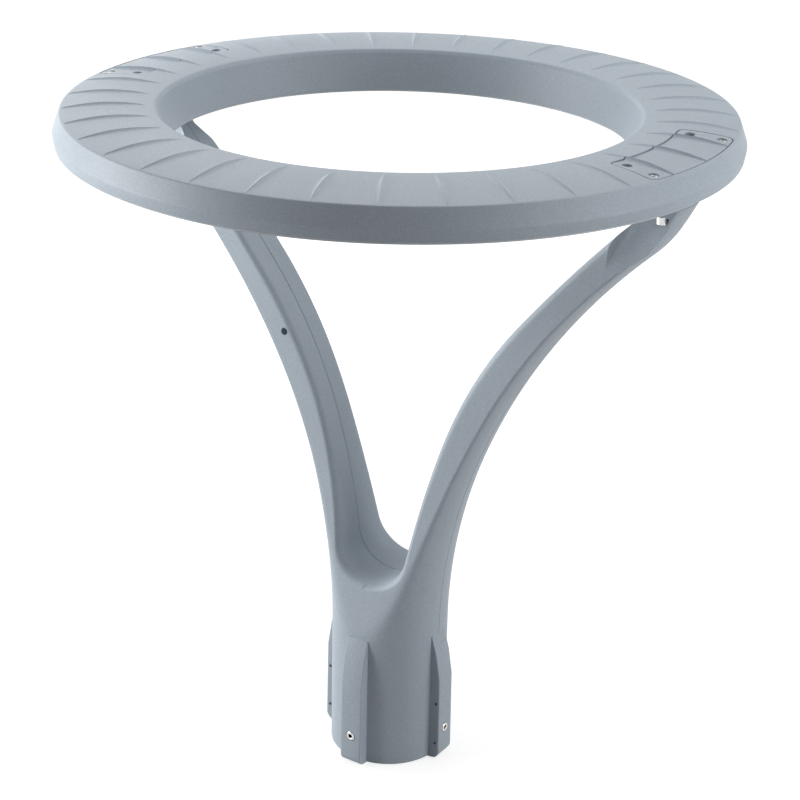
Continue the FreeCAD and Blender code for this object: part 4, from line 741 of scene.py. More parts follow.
def arm_rows():
    """Rows of the arm's front surface from the top down, each from the gap outwards.

    Returns reach, height, depth of every point, and how many rows border on the gap.
    """
    rounding = sizes().inner_rounding / MM
    soft = sizes().outer_rounding / MM
    groove = sizes().seam / MM
    outer_line = CROWN_PATH[CROWN_PATH[:, 1] >= CROWN_FOOT] + (SLEEVE_RADIUS, 0)
    shares = 1 - np.concatenate([np.linspace(0, 0.94, 110), np.linspace(0.945, 1, 16)])
    inner = along(INNER_PATH, shares)
    outer = along(outer_line, shares)
    on_gap = len(shares)
    # below the gap the rows end on the middle line
    turns = np.linspace(0, math.pi / 2, 9)[1:]
    tall = CROTCH_HEIGHT - SEAM_HEIGHT
    drops = np.concatenate([rounding * (1 - np.cos(turns)), np.linspace(rounding, tall, 26)[1:]])
    down = drops / tall
    inner = np.vstack([inner, np.stack([np.zeros(len(down)), CROTCH_HEIGHT - drops], -1)])
    foot = CROWN_FOOT - (CROWN_FOOT - SEAM_HEIGHT) * down
    outer = np.vstack([outer, np.stack([np.full(len(down), SLEEVE_RADIUS), foot], -1)])
    near_gap = rounding * (1 - np.cos(np.linspace(0, math.pi / 2, 8)))
    mirrored = INNER_PATH[::-1] * (-1, 1)
    gap_line = np.vstack([mirrored, INNER_PATH[1:]])
    rows = []
    for number, (start, end) in enumerate(zip(inner, outer)):
        span = end - start
        length = np.linalg.norm(span)
        depth = half_depth(end[1])
        corner = math.asin(min(1.0, depth / SLEEVE_RADIUS))
        bends = np.linspace(min(math.pi / 2, corner * 1.35), 0, 18)
        crown = 1 - SLEEVE_RADIUS * (1 - np.cos(bends)) / span[0]
        first = near_gap / length
        crown = np.clip(crown, first[-1] + 0.02, 1)
        crown = np.maximum.accumulate(crown + np.linspace(0, 1e-5, len(crown))) / (1 + 1e-5)
        middle = np.linspace(first[-1], crown[0], 8)[1:-1]
        steps = np.concatenate([first, middle, crown])
        steps[-1] = 1.0
        spots = start + span * steps[:, None]
        reach, height = spots[:, 0], spots[:, 1]
        bulge = np.sqrt(np.maximum(0, SLEEVE_RADIUS ** 2 - (reach - crown_shift(height)) ** 2))
        depth = soft_least(half_depth(height), bulge, soft)
        if number < on_gap:
            close = steps * length
        else:
            close = distance_to(gap_line, spots)
        fade = np.clip((ARM_TOP - height) / 22, 0, 1)
        bend = 1.0 + (rounding - 1.0) * fade * fade * (3 - 2 * fade)
        inside = np.maximum(0, bend - close)
        depth = depth - (bend - np.sqrt(np.maximum(0, bend ** 2 - inside ** 2)))
        depth = np.maximum(depth, groove)
        rows.append((reach, height, depth))
    return rows, on_gap


class Sheet:
    """Collects points and quads of a quarter that is mirrored afterwards."""

    def __init__(self, side):
        self.form = bmesh.new()
        self.side = side

    def row(self, points):
        return [self.form.verts.new((x * MM, y * self.side * MM, z * MM)) for x, y, z in points]

    def strip(self, first, second):
        """Joins two rows with quads, or triangles where points are shared."""
        for a, b, c, d in zip(first, first[1:], second[1:], second):
            corners = []
            for corner in (a, b, c, d):
                if all((corner.co - other.co).length > 1e-9 for other in corners):
                    corners.append(corner)
            if len(corners) > 2:
                self.form.faces.new(corners)

    def whole(self, name):
        """Mirrors the quarter across X, closes it and turns its faces outwards."""
        form = self.form
        made = bmesh.ops.duplicate(form, geom=form.verts[:] + form.edges[:] + form.faces[:])["geom"]
        for item in made:
            if isinstance(item, bmesh.types.BMVert):
                item.co.x = -item.co.x
        bmesh.ops.remove_doubles(form, verts=form.verts, dist=0.002 * MM)
        open_edges = [edge for edge in form.edges if len(edge.link_faces) == 1]
        bmesh.ops.holes_fill(form, edges=open_edges, sides=0)
        bmesh.ops.recalc_face_normals(form, faces=form.faces)
        return solid(name, form)


def arm_sheets(sheet, rows, on_gap):
    """Adds the arm's outside, its face to the gap, the seam's groove and the mid plane.

    Returns the lowest row of its outside.
    """
    groove = sizes().seam / MM
    faces = []
    for reach, height, depth in rows:
        faces.append(sheet.row(zip(reach, depth, height)))
    for first, second in zip(faces, faces[1:]):
        sheet.strip(first, second)
    middles = []
    for number, (reach, height, depth) in enumerate(rows):
        span = np.array((reach[-1] - reach[0], height[-1] - height[0]))
        span /= np.linalg.norm(span)
        start = np.array((reach[0], height[0]))
        end = np.array((reach[-1], height[-1])) - span * groove
        if number == on_gap - 1:
            start = start - (0, groove)
        elif number < on_gap:
            start = start + span * groove
        else:
            # below the gap the rows keep their order under the groove's edge
            tall = CROTCH_HEIGHT - SEAM_HEIGHT
            start[1] = SEAM_HEIGHT + (start[1] - SEAM_HEIGHT) * (tall - groove) / tall
        middles.append([start + (end - start) * share for share in np.linspace(0, 1, 6)])
    planes = [sheet.row([(x, 0, z) for x, z in spots]) for spots in middles]
    for first, second in zip(planes, planes[1:]):
        sheet.strip(first, second)
    # the seam's groove on the outside
    for number in range(len(rows) - 1):
        upper, lower = ([rows_of[level][-1] for rows_of in (faces, planes)] for level in (number, number + 1))
        sheet.strip(upper, lower)
    # the face to the gap, up to the groove
    walls = []
    for number in range(on_gap):
        reach, height, depth = rows[number]
        levels = np.linspace(depth[0], groove, 5)[1:]
        wall = sheet.row([(reach[0], y, height[0]) for y in levels])
        walls.append([faces[number][0], *wall, planes[number][0]])
    for first, second in zip(walls, walls[1:]):
        sheet.strip(first, second)
    return faces[-1]


def last_row(rows, height):
    """Lays the lowest row on the sleeve exactly and returns its turns round the sleeve."""
    reach = rows[-1][0]
    turns = np.arccos(np.clip(reach / SLEEVE_RADIUS, 0, 1))
    rows[-1] = (SLEEVE_RADIUS * np.cos(turns), np.full(len(reach), height), SLEEVE_RADIUS * np.sin(turns))
    return turns


def front_sheet():
    """Makes the front half of both arms and the whole sleeve, one closed shell."""
    rows, on_gap = arm_rows()
    turns = last_row(rows, SEAM_HEIGHT)
    sheet = Sheet(-1)
    groove = sizes().seam / MM
    lowest = arm_sheets(sheet, rows, on_gap)

    def circle(radius, z, side=1):
        return [(radius * math.cos(turn), side * radius * math.sin(turn), z) for turn in turns]

    profile = [(SLEEVE_RADIUS, z) for z in (90.0, 70.0, 50.0, 30.0, 12.0, 0.8)]
    profile += [(SLEEVE_RADIUS - 0.8, 0), (BORE_RADIUS + 1.2, 0), (BORE_RADIUS, 1.2)]
    profile += [(BORE_RADIUS, BORE_DEPTH), (0, BORE_DEPTH)]
    last = lowest
    for radius, z in profile:
        line = sheet.row(circle(radius, z))
        sheet.strip(last, line)
        last = line
    # the rear half of the sleeve, closed by a ledge under the rear cover
    last = sheet.row(circle(0, SEAM_HEIGHT, -1))
    ledge = [((SLEEVE_RADIUS - groove) * share, SEAM_HEIGHT) for share in np.linspace(0, 1, 6)[1:]]
    for radius, z in ledge + [(SLEEVE_RADIUS, SEAM_HEIGHT - groove)] + profile:
        line = sheet.row(circle(radius, z, -1))
        sheet.strip(last, line)
        last = line
    return sheet.whole("bracket_front")


def rear_sheet():
    """Makes the rear cover of both arms, one closed shell."""
    rows, on_gap = arm_rows()
    groove = sizes().seam / MM
    turns = last_row(rows, SEAM_HEIGHT + groove)
    sheet = Sheet(1)
    lowest = arm_sheets(sheet, rows, on_gap)
    inset = SLEEVE_RADIUS - groove
    foot = sheet.row([(inset * math.cos(turn), inset * math.sin(turn), SEAM_HEIGHT) for turn in turns])
    sheet.strip(lowest, foot)
    return sheet.whole("bracket_rear")


def pads():
    """Makes the four set screw pads, flat-faced, with rounded edges."""
    foot = sizes().pad_foot / MM
    bends = np.radians(np.linspace(0, 90, 7))
    profile = [(43.8, 0.0)]
    profile += [(55.5 - foot * (1 - math.sin(bend)), foot * (1 - math.cos(bend))) for bend in bends]
    profile += [(54.8, 73.0), (51.3, 95.0), (46.3, 112.0), (43.8, 112.0)]
    whole = bmesh.new()
    for quarter in range(4):
        form = bmesh.new()
        sides = (-PAD_HALF_WIDTH, PAD_HALF_WIDTH)
        skin(form, [[form.verts.new(mm(x, y, z)) for x, z in profile] for y in sides])
        edges = [edge for edge in form.edges if all(vert.co.x > 45 * MM for vert in edge.verts)
                 and edge.verts[0].co.y == edge.verts[1].co.y]
        bmesh.ops.bevel(form, geom=edges, offset=sizes().pad_rounding, segments=4, profile=0.5,
                        affect="EDGES", clamp_overlap=True)
        bmesh.ops.rotate(form, verts=form.verts, cent=(0, 0, 0),
                         matrix=Matrix.Rotation(math.pi / 2 * quarter, 3, "Z"))
        part = into_mesh(form, "pad")
        whole.from_mesh(part)
        bpy.data.meshes.remove(part)
    return solid("pads", whole)


def add_pads(piece, level, kind, folded=False):
    """Joins the pads onto one half of the bracket.

    Behind the middle plane, above the level, they belong to the rear cover only.
    """
    part = pads()
    above = bmesh.new()
    block(above, mm(-90, 0, level), mm(90, 90, 130))
    joined(part, solid("above_seam", above), kind)
    joined(piece, part, "UNION", folded=folded)


def cut_scoops(piece, side):
    """Cuts a scoop round each cap screw's head, open to one face and to the gap.

    Its foot slopes.
    """
    inner = [(196, 497), (225.4, 497), (225.4, 491), (224, 487.5), (220, 485), (200, 482)]
    outer = [(180, 497), (227.2, 497), (227.2, 490), (225, 482), (219, 472), (200, 446), (180, 446)]
    for turn in (1, -1):
        scoop = bmesh.new()
        for outline, depth in ((inner, 8.2), (outer, 21.0)):
            for reach, height in outline:
                scoop.verts.new(mm(turn * reach, side * depth, height))
        hull = bmesh.ops.convex_hull(scoop, input=scoop.verts)
        spare = set(hull["geom_interior"] + hull["geom_unused"])
        bmesh.ops.delete(scoop, geom=list(spare), context="VERTS")
        bmesh.ops.recalc_face_normals(scoop, faces=scoop.faces)
        joined(piece, solid("scoop", scoop), "DIFFERENCE")


# The ring: its section turns about the Z axis, in millimetres above the bottom edge.
RING_BASE = 513.0
RIDGES = 36
RIDGE_MIDDLE = 209.5
RIDGE_TOP = 26.9
RIDGE_BOW = 139.0
RIDGE_HALF_WIDTH = 4.5
COVER_SEAT = 18.5
COVER_GAP = 0.9
COVER_DROP = 0.9


def at(radius, angle):
    """A point given by radius in millimetres and angle, in metres."""
    return radius * math.cos(angle) * MM, radius * math.sin(angle) * MM


def dome_height(radius):
    """Height of the dome, an arc through its inner edge, its highest line and its crease."""
    points = ((176.6, 23.6), (209.5, 25.4), (244.7, 22.2))
    (ax, ay), (bx, by), (cx, cy) = points
    double = 2 * (ax * (by - cy) + bx * (cy - ay) + cx * (ay - by))
    squares = [x * x + y * y for x, y in points]
    middle_x = (squares[0] * (by - cy) + squares[1] * (cy - ay) + squares[2] * (ay - by)) / double
    middle_y = (squares[0] * (cx - bx) + squares[1] * (ax - cx) + squares[2] * (bx - ax)) / double
    bow = math.hypot(ax - middle_x, ay - middle_y)
    return middle_y + np.sqrt(bow ** 2 - (radius - middle_x) ** 2)


def with_ridges(piece, below=0.0):
    """Raises the ridges out of a piece's dome, which lies below the ring's by some millimetres."""
    return grown(piece, ridge_tree(), **{
        "Ridges": RIDGES, "Middle Radius": RIDGE_MIDDLE * MM, "Crest Height": (RING_BASE + RIDGE_TOP) * MM,
        "Crest Bow": RIDGE_BOW * MM, "Half Width": RIDGE_HALF_WIDTH * MM, "Rise": (1.5 + below) * MM,
        "Finish": material("powder_coat")})


def rounded(corners, steps=5):
    """Rounds the corners of a closed section; each corner is (x, y, radius)."""
    line = []
    count = len(corners)
    for number, (x, y, radius) in enumerate(corners):
        here = np.array((x, y), float)
        if radius == 0:
            line.append(here)
            continue
        back = np.array(corners[number - 1][:2], float) - here
        ahead = np.array(corners[(number + 1) % count][:2], float) - here
        back /= np.linalg.norm(back)
        ahead /= np.linalg.norm(ahead)
        half = math.acos(np.clip(back @ ahead, -1, 1)) / 2
        cut = radius / math.tan(half)
        middle = here + (back + ahead) / np.linalg.norm(back + ahead) * radius / math.sin(half)
        first, last = here + back * cut - middle, here + ahead * cut - middle
        for share in np.linspace(0, 1, steps):
            spoke = first * (1 - share) + last * share
            line.append(middle + spoke / np.linalg.norm(spoke) * radius)
    return line


def ring_turns():
    """Angles of the ring's columns: close together at each crest, wider apart between them."""
    asides = np.array([0.0, 0.22, 0.55, 1.0, 1.6, 2.4, 3.4, 4.6, 6.2, 8.5, 11.5])
    offsets = np.degrees(asides / RIDGE_MIDDLE)
    sector = np.concatenate([-offsets[:0:-1], offsets, [5.0]])
    pitch = 360.0 / RIDGES
    return np.radians(np.concatenate([number * pitch + sector for number in range(RIDGES)]))


def ring_shell():
    """Makes the ring as one closed shell, open underneath like the casting."""
    dome = np.linspace(179.4, 242.2, 34)
    outer = rounded([(246.1, 0.0, 0), (248.7, 0.0, 0.7), (250.0, 8.2, 2.0), (244.7, 22.2, 1.7),
                     (240.0, float(dome_height(240.0)), 0)])[:-1]
    inner = rounded([(182.0, float(dome_height(182.0)), 0), (176.3, 23.55, 2.4), (174.6, 20.6, 1.6),
                     (170.0, -8.8, 0.9), (173.5, -8.8, 0), (173.5, -5.8, 0), (178.5, -5.8, 0),
                     (178.5, 19.5, 1.5), (242.5, 19.5, 1.5), (242.5, 3.0, 0), (246.1, 3.0, 0)])[1:]
    low, high = inner[0][0] + 0.4, outer[-1][0] - 0.4
    crown = [(radius, None) for radius in dome[::-1] if low < radius < high]
    section = [tuple(spot) for spot in outer] + crown + [tuple(spot) for spot in inner]
    form = bmesh.new()
    mark = form.verts.layers.bool.new("dome")
    columns = []
    for turn in ring_turns():
        column = []
        for radius, height in section:
            on_dome = height is None
            if on_dome:
                height = float(dome_height(radius))
            x, y = at(radius, turn)
            vert = form.verts.new((x, y, (RING_BASE + height) * MM))
            vert[mark] = on_dome
            column.append(vert)
        columns.append(column)
    skin(form, columns, loop=True)
    return with_ridges(solid("ring", form))


def bosses():
    """Makes the two bosses that stand on the arms' tops and reach up to the roof."""
    form = bmesh.new()
    crown_radius, half_width, inner_face = 46.5, 17.7, 208.3
    reach_angle = math.asin(half_width / crown_radius)
    turns = np.linspace(-reach_angle, reach_angle, 15)
    for side in (1, -1):
        levels = []
        for height in (ARM_TOP, RING_BASE + 19.9):
            shift = 179.6 + 0.532 * (min(height, RING_BASE + 3.5) - 485)
            crown = [(shift + crown_radius * math.cos(turn), crown_radius * math.sin(turn)) for turn in turns]
            line = [(inner_face, -half_width), *crown, (inner_face, half_width)]
            levels.append([form.verts.new(mm(side * x, y, height)) for x, y in line])
        skin(form, levels)
    return solid("bosses", form)


def cover_prism(form, turn, grown, low, high):
    """Adds an upright prism with a junction cover's outline, grown all round by a gap."""
    inner, outer, bend = 204.0 - grown, 242.0 + grown, max(2.0, 5.0 + grown)
    half = math.radians(15.0)
    line = []
    # each corner's middle lies the bend's radius away from the two sides that it joins
    corners = ((inner + bend, -1, -1), (outer - bend, 1, -1), (outer - bend, 1, 1), (inner + bend, -1, 1))
    for radius, sign_radius, sign_angle in corners:
        angle = sign_angle * (half - math.asin((bend - grown) / radius))
        middle = np.array((radius * math.cos(angle), radius * math.sin(angle)))
        radial = np.array((math.cos(angle), math.sin(angle))) * sign_radius
        edge = sign_angle * half
        side = np.array((-math.sin(edge), math.cos(edge))) * sign_angle
        first, last = (radial, side) if sign_radius * sign_angle > 0 else (side, radial)
        for share in np.linspace(0, 1, 8):
            spoke = first * (1 - share) + last * share
            line.append(middle + spoke / np.linalg.norm(spoke) * bend)
        if sign_radius == 1 and sign_angle == -1:
            angles = np.linspace(-half, half, 22)[2:-2]
            line.extend(outer * np.array((math.cos(angle), math.sin(angle))) for angle in angles)
        if sign_radius == -1 and sign_angle == 1:
            angles = np.linspace(half, -half, 20)[2:-2]
            line.extend(inner * np.array((math.cos(angle), math.sin(angle))) for angle in angles)
    cos, sin = math.cos(turn), math.sin(turn)
    line = [(cos * x - sin * y, sin * x + cos * y) for x, y in line]
    skin(form, [[form.verts.new(mm(x, y, height)) for x, y in line] for height in (low, high)])


def cover_seats(turn):
    """Middles of the four screw seats of the cover at a turn, in metres."""
    return [(*at(radius, turn + math.radians(angle)), (RING_BASE + seat) * MM)
            for radius, seat in COVER_SCREWS for angle in COVER_SCREW_ANGLES]


def cover_slab(name, turn):
    """Makes a sector of the ridged dome, a little lower, from which a cover is cut."""
    turns = ring_turns()
    turns = (turns + math.pi) % (2 * math.pi) - math.pi
    turns = np.sort(turns[np.abs(turns) < math.radians(17.0)])
    radii = np.linspace(198.0, 247.0, 36)
    form = bmesh.new()
    mark = form.verts.layers.bool.new("dome")
    columns = []
    for angle in turns:
        top, bottom = [], []
        for radius in radii:
            x, y = at(radius, angle + turn)
            # the plate rises to the ring's dome towards its outer edge and its two ends
            ends = min(1.0, max(0.1, (15.0 - math.degrees(abs(angle))) / 2.5))
            edge = min(1.0, (250.0 - radius) / 30.0)
            height = float(dome_height(radius)) - COVER_DROP * ends * edge
            top.append(form.verts.new((x, y, (RING_BASE + height) * MM)))
            top[-1][mark] = True
            bottom.append(form.verts.new((x, y, (RING_BASE + COVER_SEAT) * MM)))
        columns.append(top + bottom[::-1])
    skin(form, columns)
    return with_ridges(solid(name, form), COVER_DROP)


def nearest_board(x, y):
    """Middle angle of the board that a point lies nearest to."""
    angle = math.degrees(math.atan2(y, x)) % 360
    return min(BOARD_MIDDLES, key=lambda middle: abs(middle - angle))


# Operators, one for each piece or group of like pieces.
class LAMP_OT_bracket_front(bpy.types.Operator):
    """Makes the front casting: front halves of both arms and the sleeve with its four pads"""
    bl_idname = "lamp.bracket_front"
    bl_label = "Bracket front casting"

    def execute(self, context):
        piece = front_sheet()
        add_pads(piece, SEAM_HEIGHT, "DIFFERENCE", folded=True)
        cuts = bmesh.new()
        for x, y in ((1, 0), (0, 1), (-1, 0), (0, -1)):
            rod(cuts, mm(x * 30, y * 30, SET_SCREW_HEIGHT), mm(x * 70, y * 70, SET_SCREW_HEIGHT), 4.25 * MM)
        # small round marks on the side pads' flanks and on the left arm
        for x in (-52.0, 52.0):
            for z in (14.5, 51.5):
                rod(cuts, mm(x, -5.4, z), mm(x, -30, z), 1.3 * MM, 24)
        rod(cuts, mm(-91, -14, 344.7), mm(-91, -40, 344.7), 3.0 * MM)
        joined(piece, solid("front_cuts", cuts), "DIFFERENCE")
        cut_scoops(piece, -1)
        crisp(piece.data)
        finished(piece, "powder_coat", "paint", "bracket_front_casting")
        return {"FINISHED"}


class LAMP_OT_bracket_rear(bpy.types.Operator):
    """Makes the rear cover of both arms with its two screw bores"""
    bl_idname = "lamp.bracket_rear"
    bl_label = "Bracket rear cover"

    def execute(self, context):
        piece = rear_sheet()
        add_pads(piece, SEAM_HEIGHT + 0.3, "INTERSECT")
        cuts = bmesh.new()
        for x in REAR_SCREW_REACHES:
            rod(cuts, mm(x, REAR_SCREW_SEAT, REAR_SCREW_HEIGHT), mm(x, 70, REAR_SCREW_HEIGHT), 4.75 * MM)
        joined(piece, solid("rear_cuts", cuts), "DIFFERENCE")
        cut_scoops(piece, 1)
        crisp(piece.data)
        finished(piece, "powder_coat", "paint", "bracket_rear_cover")
        return {"FINISHED"}


class LAMP_OT_ring(bpy.types.Operator):
    """Makes the ring casting with its radial ridges, cover recesses and bosses"""
    bl_idname = "lamp.ring"
    bl_label = "Ring casting"

    def execute(self, context):
        piece = ring_shell()
        tubs = bmesh.new()
        for turn in (0.0, math.pi):
            cover_prism(tubs, turn, 3.5, RING_BASE + 3.0, RING_BASE + 20.2)
        joined(piece, solid("tubs", tubs), "UNION")
        joined(piece, bosses(), "UNION")
        for turn in (0.0, math.pi):
            recess = bmesh.new()
            cover_prism(recess, turn, COVER_GAP, RING_BASE + COVER_SEAT, RING_BASE + 40)
            joined(piece, solid("recess", recess), "DIFFERENCE")
            pocket = bmesh.new()
            cover_prism(pocket, turn, -4.5, RING_BASE + 6.0, RING_BASE + 30)
            joined(piece, solid("pocket", pocket), "DIFFERENCE")
        crisp(piece.data, 24.0)
        finished(piece, "powder_coat", "paint", "ring_housing")
        return {"FINISHED"}


class LAMP_OT_covers(bpy.types.Operator):
    """Makes the two junction covers, each with three ridges and four screw seats"""
    bl_idname = "lamp.covers"
    bl_label = "Junction covers"

    def execute(self, context):
        for side, turn in (("right", 0.0), ("left", math.pi)):
            piece = cover_slab(f"cover_{side}", turn)
            outline = bmesh.new()
            cover_prism(outline, turn, 0.0, RING_BASE + COVER_SEAT + 1.0, RING_BASE + 40)
            joined(piece, solid("outline", outline), "INTERSECT")
            seats = bmesh.new()
            for x, y, z in cover_seats(turn):
                rod(seats, (x, y, z), (x, y, (RING_BASE + 40) * MM), 3.8 * MM)
            joined(piece, solid("seats", seats), "DIFFERENCE")
            crisp(piece.data, 24.0)
            finished(piece, "powder_coat", "paint", f"junction_cover_{side}")
        return {"FINISHED"}


class LAMP_OT_screws(bpy.types.Operator):
    """Puts a hexagon socket screw in every seat of the covers, arms, rear cover, sleeve and boards"""
    bl_idname = "lamp.screws"
    bl_label = "Screws"

    def execute(self, context):
        tree = screw_tree()
        fine = fasteners().fine_pitch / MM
        coarse = fasteners().thread_pitch / MM
        bevel = fasteners().rim_bevel / MM
        size = screw_sizes((3.3, COVER_HEAD), bevel, (2.5, 1.4), (1.35, 11.9), (1.35, -11.5, 9.0, fine))
        for side, turn in (("right", 0.0), ("left", math.pi)):
            spots = [(seat, (0.0, 0.0, math.radians(17.0 * number)))
                     for number, seat in enumerate(cover_seats(turn))]
            name = f"cover_screws_{side}"
            self.set_of(tree, name, spots, name, size)
        spots = [(mm(x, y, CAP_SCREW_SEAT), (math.pi, 0.0, 0.3)) for x, y in CAP_SCREW_SPOTS]
        size = screw_sizes((4.25, 5.0), 1.2 * bevel, (4.0, 2.5), (2.1, 15.5), (2.1, -15.0, 12.0, 0.8))
        self.set_of(tree, "cap_screws", spots, "arm_cap_screws", size)
        spots = [(mm(x, REAR_SCREW_SEAT, REAR_SCREW_HEIGHT), (-math.pi / 2, 0.0, 0.0))
                 for x in REAR_SCREW_REACHES]
        size = screw_sizes((4.25, 5.0), 1.2 * bevel, (4.0, 2.5), (2.1, 17.8), (2.1, -17.4, 14.0, 0.8))
        self.set_of(tree, "rear_screws", spots, "rear_cover_screws", size)
        spots = []
        for quarter in range(4):
            angle = math.pi / 2 * quarter
            place = (*at(SET_SCREW_FACE - SET_SCREW_LENGTH, angle), SET_SCREW_HEIGHT * MM)
            spots.append((place, (0.0, math.pi / 2, angle)))
        size = screw_sizes((3.8, SET_SCREW_LENGTH), 0.4, (3.4, 5.0), (2.6, 0.05),
                           (3.42, 0.8, SET_SCREW_LENGTH - 3.0, coarse))
        self.set_of(tree, "set_screws", spots, "sleeve_set_screws", size, "set_screw_steel_socket_shade")
        spots = []
        for middle in BOARD_MIDDLES:
            for angle in (-30.0, 30.0):
                spots.append(((*at(210.5, math.radians(middle + angle)), BOARD_FACE * MM), DOWN))
        size = screw_sizes((2.75, 1.8), 0.5, (2.0, 1.0), (1.1, 4.9), (1.1, -4.6, 4.2, 0.5))
        self.set_of(tree, "board_screws", spots, "board_screws", size)
        return {"FINISHED"}

    def set_of(self, tree, name, spots, node, size, finish="stainless"):
        piece = grown(spots_mesh(name, spots), tree, Finish=material(finish), **size)
        crisp(piece.data, 28.0)
        finished(piece, finish, "stainless", node)


class LAMP_OT_washers(bpy.types.Operator):
    """Puts a washer under the head of every arm screw"""
    bl_idname = "lamp.washers"
    bl_label = "Washers"

    def execute(self, context):
        spots = [(mm(x, y, CAP_SCREW_SEAT + 0.5), UP) for x, y in CAP_SCREW_SPOTS]
        piece = grown(spots_mesh("cap_washers", spots), washer_tree(), **{
            "Mean Radius": 3.7 * MM, "Width": 2.6 * MM, "Thickness": 1.0 * MM,
            "Finish": material("stainless")})
        crisp(piece.data, 50.0)
        finished(piece, "stainless", "stainless", "arm_cap_washers")
        return {"FINISHED"}


class LAMP_OT_led_packages(bpy.types.Operator):
    """Puts two rows of LED packages on each board"""
    bl_idname = "lamp.led_packages"
    bl_label = "LED packages"

    def execute(self, context):
        tree = package_tree()
        for number in (1, 2, 3, 4):
            node = f"led_packages_{number}"
            low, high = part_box(node)
            middle = nearest_board((low[0] + high[0]) / 2, (low[1] + high[1]) / 2)
            piece = grown(spots_mesh(f"packages_{number}", [((0.0, 0.0, 0.0), UP)]), tree, **{
                "Middle Angle": math.radians(middle), "Top Height": high[2],
                "Thickness": high[2] - low[2], "Finish": material("package_frame"),
                "Face Finish": material("phosphor")})
            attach(piece, "root")
            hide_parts(node)
        return {"FINISHED"}


class LAMP_OT_inner_pieces(bpy.types.Operator):
    """Gives the CAD pieces that are right as they are their finishes"""
    bl_idname = "lamp.inner_pieces"
    bl_label = "Inner pieces"

    def execute(self, context):
        coats = {
            "silicone": ("cover_gasket_right", "cover_gasket_left", "diffuser_gasket_inner",
                         "diffuser_gasket_front", "diffuser_gasket_rear", "wire_grommet"),
            "opal": ("diffuser_ring",),
            "solder_mask": tuple(f"led_board_{number}" for number in (1, 2, 3, 4)),
            "driver_case": ("led_driver",),
            "terminal": ("terminal_block",),
        }
        for finish, nodes in coats.items():
            for node in nodes:
                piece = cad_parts[node]
                for slot in piece.material_slots:
                    slot.material = material(finish)
        return {"FINISHED"}


class LAMP_OT_stage(bpy.types.Operator):
    """Makes the pale floor, the soft studio light and the camera"""
    bl_idname = "lamp.stage"
    bl_label = "Stage, light and camera"

    def execute(self, context):
        make_floor()
        make_lights()
        make_camera()
        return {"FINISHED"}


def seen_directly(tree, *rays):
    """Returns 1 for the named kinds of rays and 0 for all others."""
    path = tree.nodes.new("ShaderNodeLightPath")
    seen = path.outputs[rays[0]]
    for ray in rays[1:]:
        seen = add_node(tree, "ShaderNodeMath", {"operation": "MAXIMUM"}, _0=seen, _1=path.outputs[ray])
    return seen


def make_floor():
    """A pale floor that the camera sees as near white, with the lamp's shadow on it."""
    form = bmesh.new()
    bmesh.ops.create_grid(form, x_segments=2, y_segments=2, size=6.0)
    floor = solid("floor", form)
    ground = Shader("pale_floor", (0.36, 0.36, 0.36), 0.9, specular=0.1)
    tree = ground.tree
    # further out the floor glows more, so that it meets the white surround without a line
    far = ground.node("ShaderNodeVectorMath", {"operation": "LENGTH"}, "Value", _0=ground.place)
    level = ground.node("ShaderNodeMapRange", {"interpolation_type": "SMOOTHSTEP"}, "Result", Value=far,
                        From_Min=0.25, From_Max=1.1, To_Min=0.76, To_Max=1.0)
    glow = ground.node("ShaderNodeEmission", Color=(1.0, 1.0, 1.0, 1.0), Strength=level)
    plain = ground.shader.outputs["BSDF"]
    both = ground.node("ShaderNodeAddShader", _0=plain, _1=glow)
    seen = seen_directly(tree, "Is Camera Ray", "Is Glossy Ray")
    lit = ground.node("ShaderNodeMixShader", _0=seen, _1=plain, _2=both)
    fill(tree, tree.nodes["Material Output"].inputs["Surface"], lit)
    floor.data.materials.append(ground.material)


def area_light(name, place, target, size, power):
    """Adds a large soft lamp that looks at a point."""
    light = bpy.data.lights.new(name, "AREA")
    light.shape = "RECTANGLE"
    light.size = size
    light.size_y = size
    light.energy = power
    lamp = bpy.data.objects.new(name, light)
    lamp.location = place
    lamp.rotation_euler = (Vector(target) - Vector(place)).to_track_quat("-Z", "Y").to_euler()
    bpy.context.scene.collection.objects.link(lamp)


def make_lights():
    """Soft lamps beside, behind and above the lamp head, none in front of it.

    Each is given by its turn from the camera's side, its height angle and its power.
    """
    across = Vector((0.8365, 0.5476, 0.0))
    ahead = Vector((-0.5476, 0.8365, 0.0))
    target = Vector((0.0, 0.0, 0.3))
    distance, width = 1.6, 1.1
    lamps = (("left", -90, 10, 31.0), ("right", 60, 10, 12.0), ("right_high", 90, 50, 8.2),
             ("back_high", 180, 60, 9.2), ("back_left", -150, 20, 5.2))
    for name, turn, rise, power in lamps:
        turn, rise = math.radians(turn), math.radians(rise)
        level = across * math.sin(turn) - ahead * math.cos(turn)
        aim = level * math.cos(rise) + Vector((0, 0, math.sin(rise)))
        area_light(f"lamp_{name}", target + aim * distance, target, width, power)
    world = bpy.data.worlds.new("white_surround")
    world.use_nodes = True
    bpy.context.scene.world = world
    tree = world.node_tree
    back = tree.nodes["Background"].inputs
    back["Color"].default_value = (1.0, 1.0, 1.0, 1.0)
    # white to whatever looks at it, but faint as a light on the lamp head
    seen = seen_directly(tree, "Is Camera Ray", "Is Glossy Ray", "Is Transmission Ray")
    strength = add_node(tree, "ShaderNodeMapRange", out="Result", Value=seen, To_Min=0.05, To_Max=1.0)
    fill(tree, back["Strength"], strength)


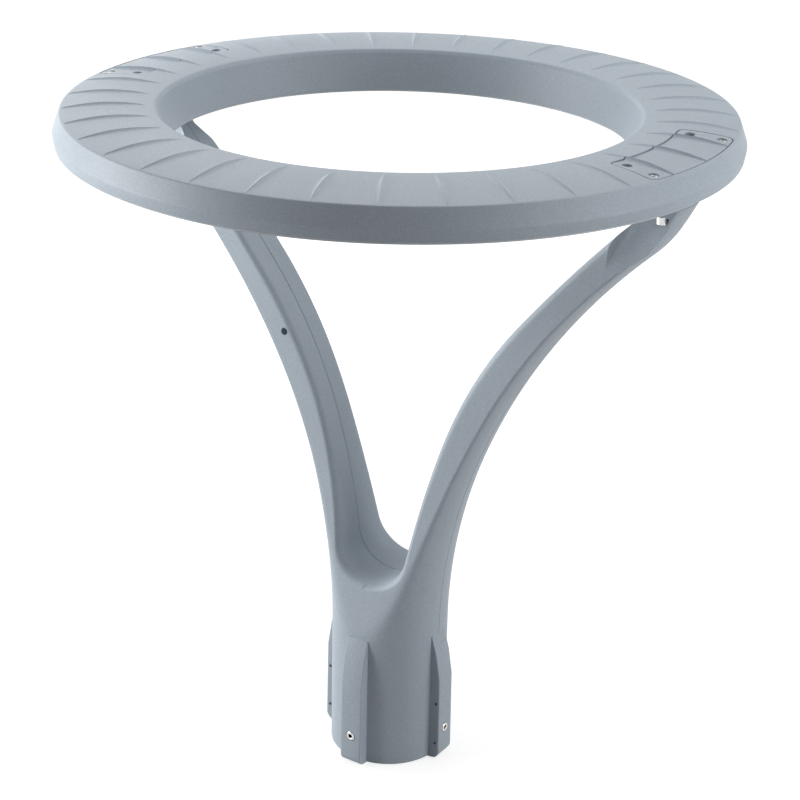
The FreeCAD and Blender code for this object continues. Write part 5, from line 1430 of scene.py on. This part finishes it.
def make_camera():
    """Sets the camera where the photograph was taken from, for a square picture."""
    camera = bpy.data.cameras.new("camera")
    camera.sensor_width = 36.0
    camera.lens = 1911.909 / 800 * 36.0
    camera.clip_end = 50.0
    viewer = bpy.data.objects.new("camera", camera)
    right = Vector((0.836522, 0.547571, 0.019926))
    up = Vector((-0.230714, 0.319010, 0.919241))
    ahead = Vector((-0.496993, 0.773562, -0.393191))
    turn = Matrix((right, up, -ahead)).transposed().to_4x4()
    viewer.matrix_world = Matrix.Translation((0.738407, -1.141404, 0.883962)) @ turn
    bpy.context.scene.collection.objects.link(viewer)
    bpy.context.scene.camera = viewer
    bpy.context.scene.view_settings.view_transform = "Standard"


class LAMP_PT_panel(bpy.types.Panel):
    """Lists the lamp's sizes, finishes and pieces"""
    bl_idname = "LAMP_PT_panel"
    bl_label = "Ring street light"
    bl_space_type = "VIEW_3D"
    bl_region_type = "UI"
    bl_category = "Street light"

    def draw(self, context):
        scene = context.scene
        for group in (scene.lamp_sizes, scene.lamp_fasteners, scene.lamp_finishes):
            box = self.layout.box()
            for word in group.__annotations__:
                box.prop(group, word)
        for operator in OPERATORS:
            self.layout.operator(operator.bl_idname)


OPERATORS = (
    LAMP_OT_bracket_front,
    LAMP_OT_bracket_rear,
    LAMP_OT_ring,
    LAMP_OT_covers,
    LAMP_OT_screws,
    LAMP_OT_washers,
    LAMP_OT_led_packages,
    LAMP_OT_inner_pieces,
    LAMP_OT_stage,
)
CLASSES = (CastingSizes, FastenerSizes, Finishes, *OPERATORS, LAMP_PT_panel)


def register():
    for item in CLASSES:
        bpy.utils.register_class(item)
    bpy.types.Scene.lamp_sizes = bpy.props.PointerProperty(type=CastingSizes)
    bpy.types.Scene.lamp_fasteners = bpy.props.PointerProperty(type=FastenerSizes)
    bpy.types.Scene.lamp_finishes = bpy.props.PointerProperty(type=Finishes)


def unregister():
    del bpy.types.Scene.lamp_finishes
    del bpy.types.Scene.lamp_fasteners
    del bpy.types.Scene.lamp_sizes
    for item in reversed(CLASSES):
        bpy.utils.unregister_class(item)


def main():
    """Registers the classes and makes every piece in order."""
    register()
    for operator in OPERATORS:
        family, word = operator.bl_idname.split(".")
        getattr(getattr(bpy.ops, family), word)()


if __name__ == "__main__":
    main()
